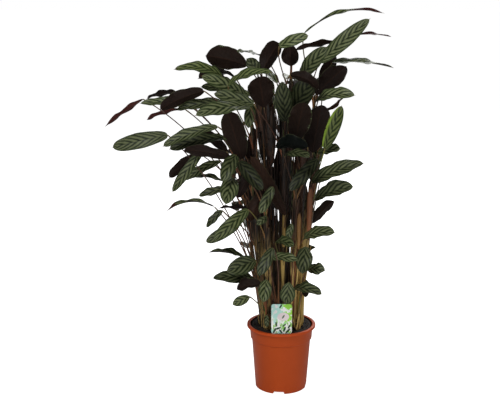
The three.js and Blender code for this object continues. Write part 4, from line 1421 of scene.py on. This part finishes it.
# The underside is green where light is above 0, a warm brown at -1 and nearly black with painted deep
# shade at -2.
def underside_finish(feather, thicket):
    finish = Finish("wine_leaf_underside", 0.5, 0.08)
    bars = finish.use(feather)
    light = finish.mark("light")
    mottle = finish.speckle(70)
    face = light.spread(0, 1).blend((32, 23, 19), (80, 86, 38)).under(
        (finish.mark("tone").spread(0.6, 1), (35, 25, 19)),
        (light.spread(-1, 0, 1, 0), (56, 38, 28)),
        (bars["Bars"] * 0.4, (24, 15, 13)),
        (bars["Midrib"] * 0.4, (56, 36, 26)),
        (mottle.spread(0.35, 0.75, 0, 0.4), (38, 25, 20)),
        # Painted deep shade where the light is -2
        (light.spread(-2, -1, 1, 0), (10, 15, 12)),
        (bars["Edge"] * 0.35, (96, 100, 72)),
        (bars["Withered"], WITHERED),
        (bars["Point"], (80, 56, 36)),
    )
    face = face.darken(finish.use(thicket)["Light"])
    return finish.done(face, bars["Veins"] + mottle, 0.4, 0.8, (mottle, 0.42, 0.6))


def stalk_finish(fibre, thicket):
    finish = Finish("leaf_stalk", 0.45, 0.3)
    fibres = finish.use(fibre)
    along = finish.mark("along")
    face = finish.mark("tone").blend((140, 78, 50), (150, 112, 66)).under(
        (along.spread(0.15, 0.6), finish.mark("light").blend((92, 62, 46), (130, 140, 60))),
        (along.spread(0.9, 0.97), (112, 96, 58)),
        (fibres["Fibres"].spread(0.45, 0.7, 0, 0.55), (58, 38, 26)),
    )
    face = face.darken(finish.use(thicket)["Light"])
    return finish.done(face, fibres["Fibres"], 0.3, 0.3, (fibres["Blotches"], 0.36, 0.55))


# Canes are golden, and painted shade dulls them on the clump's left, in its middle and higher
# up, so that they stay golden low down on its right. Painted shadow darkens the gaps between
# strands and the grooves between lobes. A light below 0 keeps a broad sheath bright at any
# height, out of the painted shade.
def cane_finish(fibre, thicket):
    finish = Finish("sheathed_cane", 0.5, 0.3)
    fibres = finish.use(fibre)
    tone = finish.mark("tone")
    light = finish.mark("light")
    x = finish.axis("X")
    golden = tone.spread(0.25, 0.65).blend((244, 208, 130), (186, 156, 84))
    golden = golden.under((tone.spread(0.75, 0.95), (152, 94, 60)))
    # Painted shade in the middle of the clump
    spots = {0: finish.place((1, 1, 0)), 1: (SHADED_HEART_X * MM, SHADED_HEART_Y * MM, 0)}
    away = finish.put("VectorMath", spots, "Value", operation="DISTANCE")
    heart_shade = away.spread(0.8 * SHADED_HEART_RADIUS * MM, SHADED_HEART_RADIUS * MM, 0.9, 0)
    # Painted shade: duller on the clump's left and darker higher up
    left_shade = x.spread(-0.04, 0.02, 1, 0) * 0.55
    rise = (finish.axis("Z") - x.spread(0.02, 0.06, 0, 0.04)).spread(0.34, 0.52)
    plain = light.spread(-1, 0)
    painted_shade = left_shade.work("MAXIMUM", rise).work("MAXIMUM", heart_shade) * plain
    # Painted shadow in the gaps between strands and in the grooves between lobes
    shadow_gaps = finish.speckle(170, 2, rise=0.04).spread(0.47, 0.54) * x.spread(0.025, 0.045, 0.85, 0.15)
    groove_shadow = finish.mark("groove").spread(0.3, 0.75, 0, 0.85)
    face = golden.under(
        (painted_shade, tone.blend((44, 36, 26), (92, 58, 40))),
        (fibres["Blotches"].spread(0.5, 0.75, 0, 0.25), (112, 94, 48)),
        (fibres["Fibres"].spread(0.5, 0.7, 0, 0.3), (60, 38, 24)),
        (finish.mark("along").spread(0.9, 1, 0, 0.4), (150, 112, 74)),
        (light.spread(0, 1), (110, 120, 56)),
        (shadow_gaps.work("MAXIMUM", groove_shadow) * plain, (20, 16, 12)),
    )
    face = face.darken(finish.use(thicket)["Light"].work("MAXIMUM", light * -1))
    return finish.done(face, fibres["Fibres"], 0.4, 0.4, (fibres["Blotches"], 0.4, 0.62))


# The plastic is a little brighter on its rim, a painted highlight, and darker on its inner side above
# the soil.
def pot_finish():
    finish = Finish("terracotta_plastic", 0.42, 0.12)
    height = finish.axis("Z")
    # Painted highlight on the rim
    lit_rim = height.spread((POT_HEIGHT - RIM_DROP - 2) * MM, (POT_HEIGHT - RIM_DROP + 1) * MM)
    broad = finish.speckle(14, 3, rise=0.3)
    fine = finish.speckle(900, 2)
    away = finish.put("VectorMath", {0: finish.place((1, 1, 0))}, "Value", operation="LENGTH")
    inside = away.spread((COLLAR_RADIUS - WALL) * MM, (COLLAR_RADIUS - WALL + 1) * MM, 1, 0)
    above = height.spread((SOIL_EDGE - 12) * MM, (SOIL_EDGE - 8) * MM)
    face = lit_rim.blend((182, 75, 30), (196, 77, 30)).under(
        (broad.spread(0.35, 0.7, 0, 0.35), (172, 69, 28)),
        (fine.spread(0.55, 0.8, 0, 0.25), (206, 108, 56)),
        (inside * above, (58, 38, 28)),
    )
    return finish.done(face, fine, 0.15, 0.2, (broad, 0.36, 0.5))


def soil_finish(name, dark, pale, roughness):
    finish = Finish(name, roughness)
    lumps = finish.speckle(260, 6, 0.7)
    grains = finish.speckle(1400, 3)
    face = lumps.spread(0.4, 0.72).blend(dark, pale)
    face = face.under((grains.spread(0.6, 0.8, 0, 0.5), (96, 74, 54)))
    return finish.done(face, lumps + grains * 0.4, 0.8, 1.6)


# 1 inside an ellipse turned on the card, and 0 outside it
def oval_mask(x, z, centre, size, degrees=0):
    dx = x - centre[0] * MM
    dz = z - centre[1] * MM
    turn = math.radians(degrees)
    along = dx * math.cos(turn) + dz * math.sin(turn)
    across = dz * math.cos(turn) - dx * math.sin(turn)
    far = (along / (size[0] * MM)) ** 2 + (across / (size[1] * MM)) ** 2
    return far.spread(0.85, 1.1, 1, 0)


# A plain printed card: mint and lime washes, a pale oval badge and scattered dark leaves
def tag_finish():
    finish = Finish("printed_card", 0.32, 0.4)
    x = finish.axis("X")
    z = finish.axis("Z")
    slope = x + finish.speckle(34, 3, 0.6) * 0.09
    low = z.spread(0.232, 0.25, 0.1, 0)
    splash = finish.speckle(75, 3, 0.6) + low
    scuff = finish.speckle(120)
    face = slope.spread(0.035, 0.062).blend((196, 244, 232), (160, 230, 74)).under(
        (splash.spread(0.52, 0.56), (252, 254, 250)),
        (finish.speckle(190, 2, rise=0.4).spread(0.56, 0.6) * (low * 9), (132, 204, 72)),
        *((oval_mask(x, z, *leaf), (40, 70, 48)) for leaf in TAG_LEAVES),
        (oval_mask(x, z, TAG_BADGE, TAG_BADGE_SIZE), (240, 226, 226)),
        (oval_mask(x, z, TAG_BADGE, TAG_BADGE_LEAF, 60), (96, 118, 92)),
        (scuff.spread(0.55, 0.8, 0, 0.12), (150, 160, 140)),
    )
    return finish.done(face, scuff, 0.05, 0.2, (scuff, 0.26, 0.42))


# The floor glows for the viewer alone, so that it adds no light from below.
def floor_finish():
    finish = Finish("pale_floor", 0.9)
    glow = finish.put("LightPath", {}, "Is Camera Ray") * FLOOR_GLOW
    colours = {"Base Color": (0.8, 0.8, 0.8, 1), "Emission Color": (1, 1, 1, 1)}
    finish.fill(finish.shader, {**colours, "Emission Strength": glow})
    return finish.material


# Studio

def add_floor():
    mesh = bmesh.new()
    bmesh.ops.create_grid(mesh, x_segments=1, y_segments=1, size=FLOOR_SIZE * MM)
    mesh_object("studio_floor", mesh, [floor_finish()])


def add_light(name, place, size, power):
    data = bpy.data.lights.new(name, "AREA")
    data.shape = "DISK"
    data.size = size
    data.energy = power
    lamp = link_object(name, data)
    lamp.location = place
    towards = Vector(LIGHT_TARGET) - Vector(place)
    lamp.rotation_euler = towards.to_track_quat("-Z", "Y").to_euler()


def add_world():
    world = bpy.data.worlds.new("studio")
    world.use_nodes = True
    sky = Tree(world.node_tree)
    seen = sky.put("LightPath", {}, "Is Camera Ray")
    strength = seen.spread(0, 1, WORLD_STRENGTH, 1)
    sky.fill(sky.tree.nodes["Background"], {"Color": (1, 1, 1, 1), "Strength": strength})
    bpy.context.scene.world = world


def add_camera():
    data = bpy.data.cameras.new("viewer")
    data.lens = VIEW_LENS
    data.sensor_width = SENSOR_WIDTH
    camera = link_object("viewer", data)
    camera.location = Vector(EYE) * MM
    camera.rotation_euler = (math.radians(VIEW_TILT), 0, 0)
    bpy.context.scene.camera = camera


feather = feather_group()
fibre = fibre_group()
thicket = thicket_group()
foliage = [
    upper_finish(feather, thicket),
    underside_finish(feather, thicket),
    stalk_finish(fibre, thicket),
    cane_finish(fibre, thicket),
]
add_pot(pot_finish())
add_soil(
    soil_finish("dark_potting_soil", (22, 17, 14), (52, 40, 31), 0.9),
    soil_finish("bark_crumbs", (48, 33, 22), (92, 66, 44), 0.85),
)
add_tag(tag_finish())
for name, leaves in place_leaves().items():
    add_stem(name, STEMS[name], leaves, foliage)
add_floor()
add_world()
for name, (place, size, power) in LIGHTS.items():
    add_light(name, place, size, power)
add_camera()
bpy.context.scene.view_settings.view_transform = "Standard"
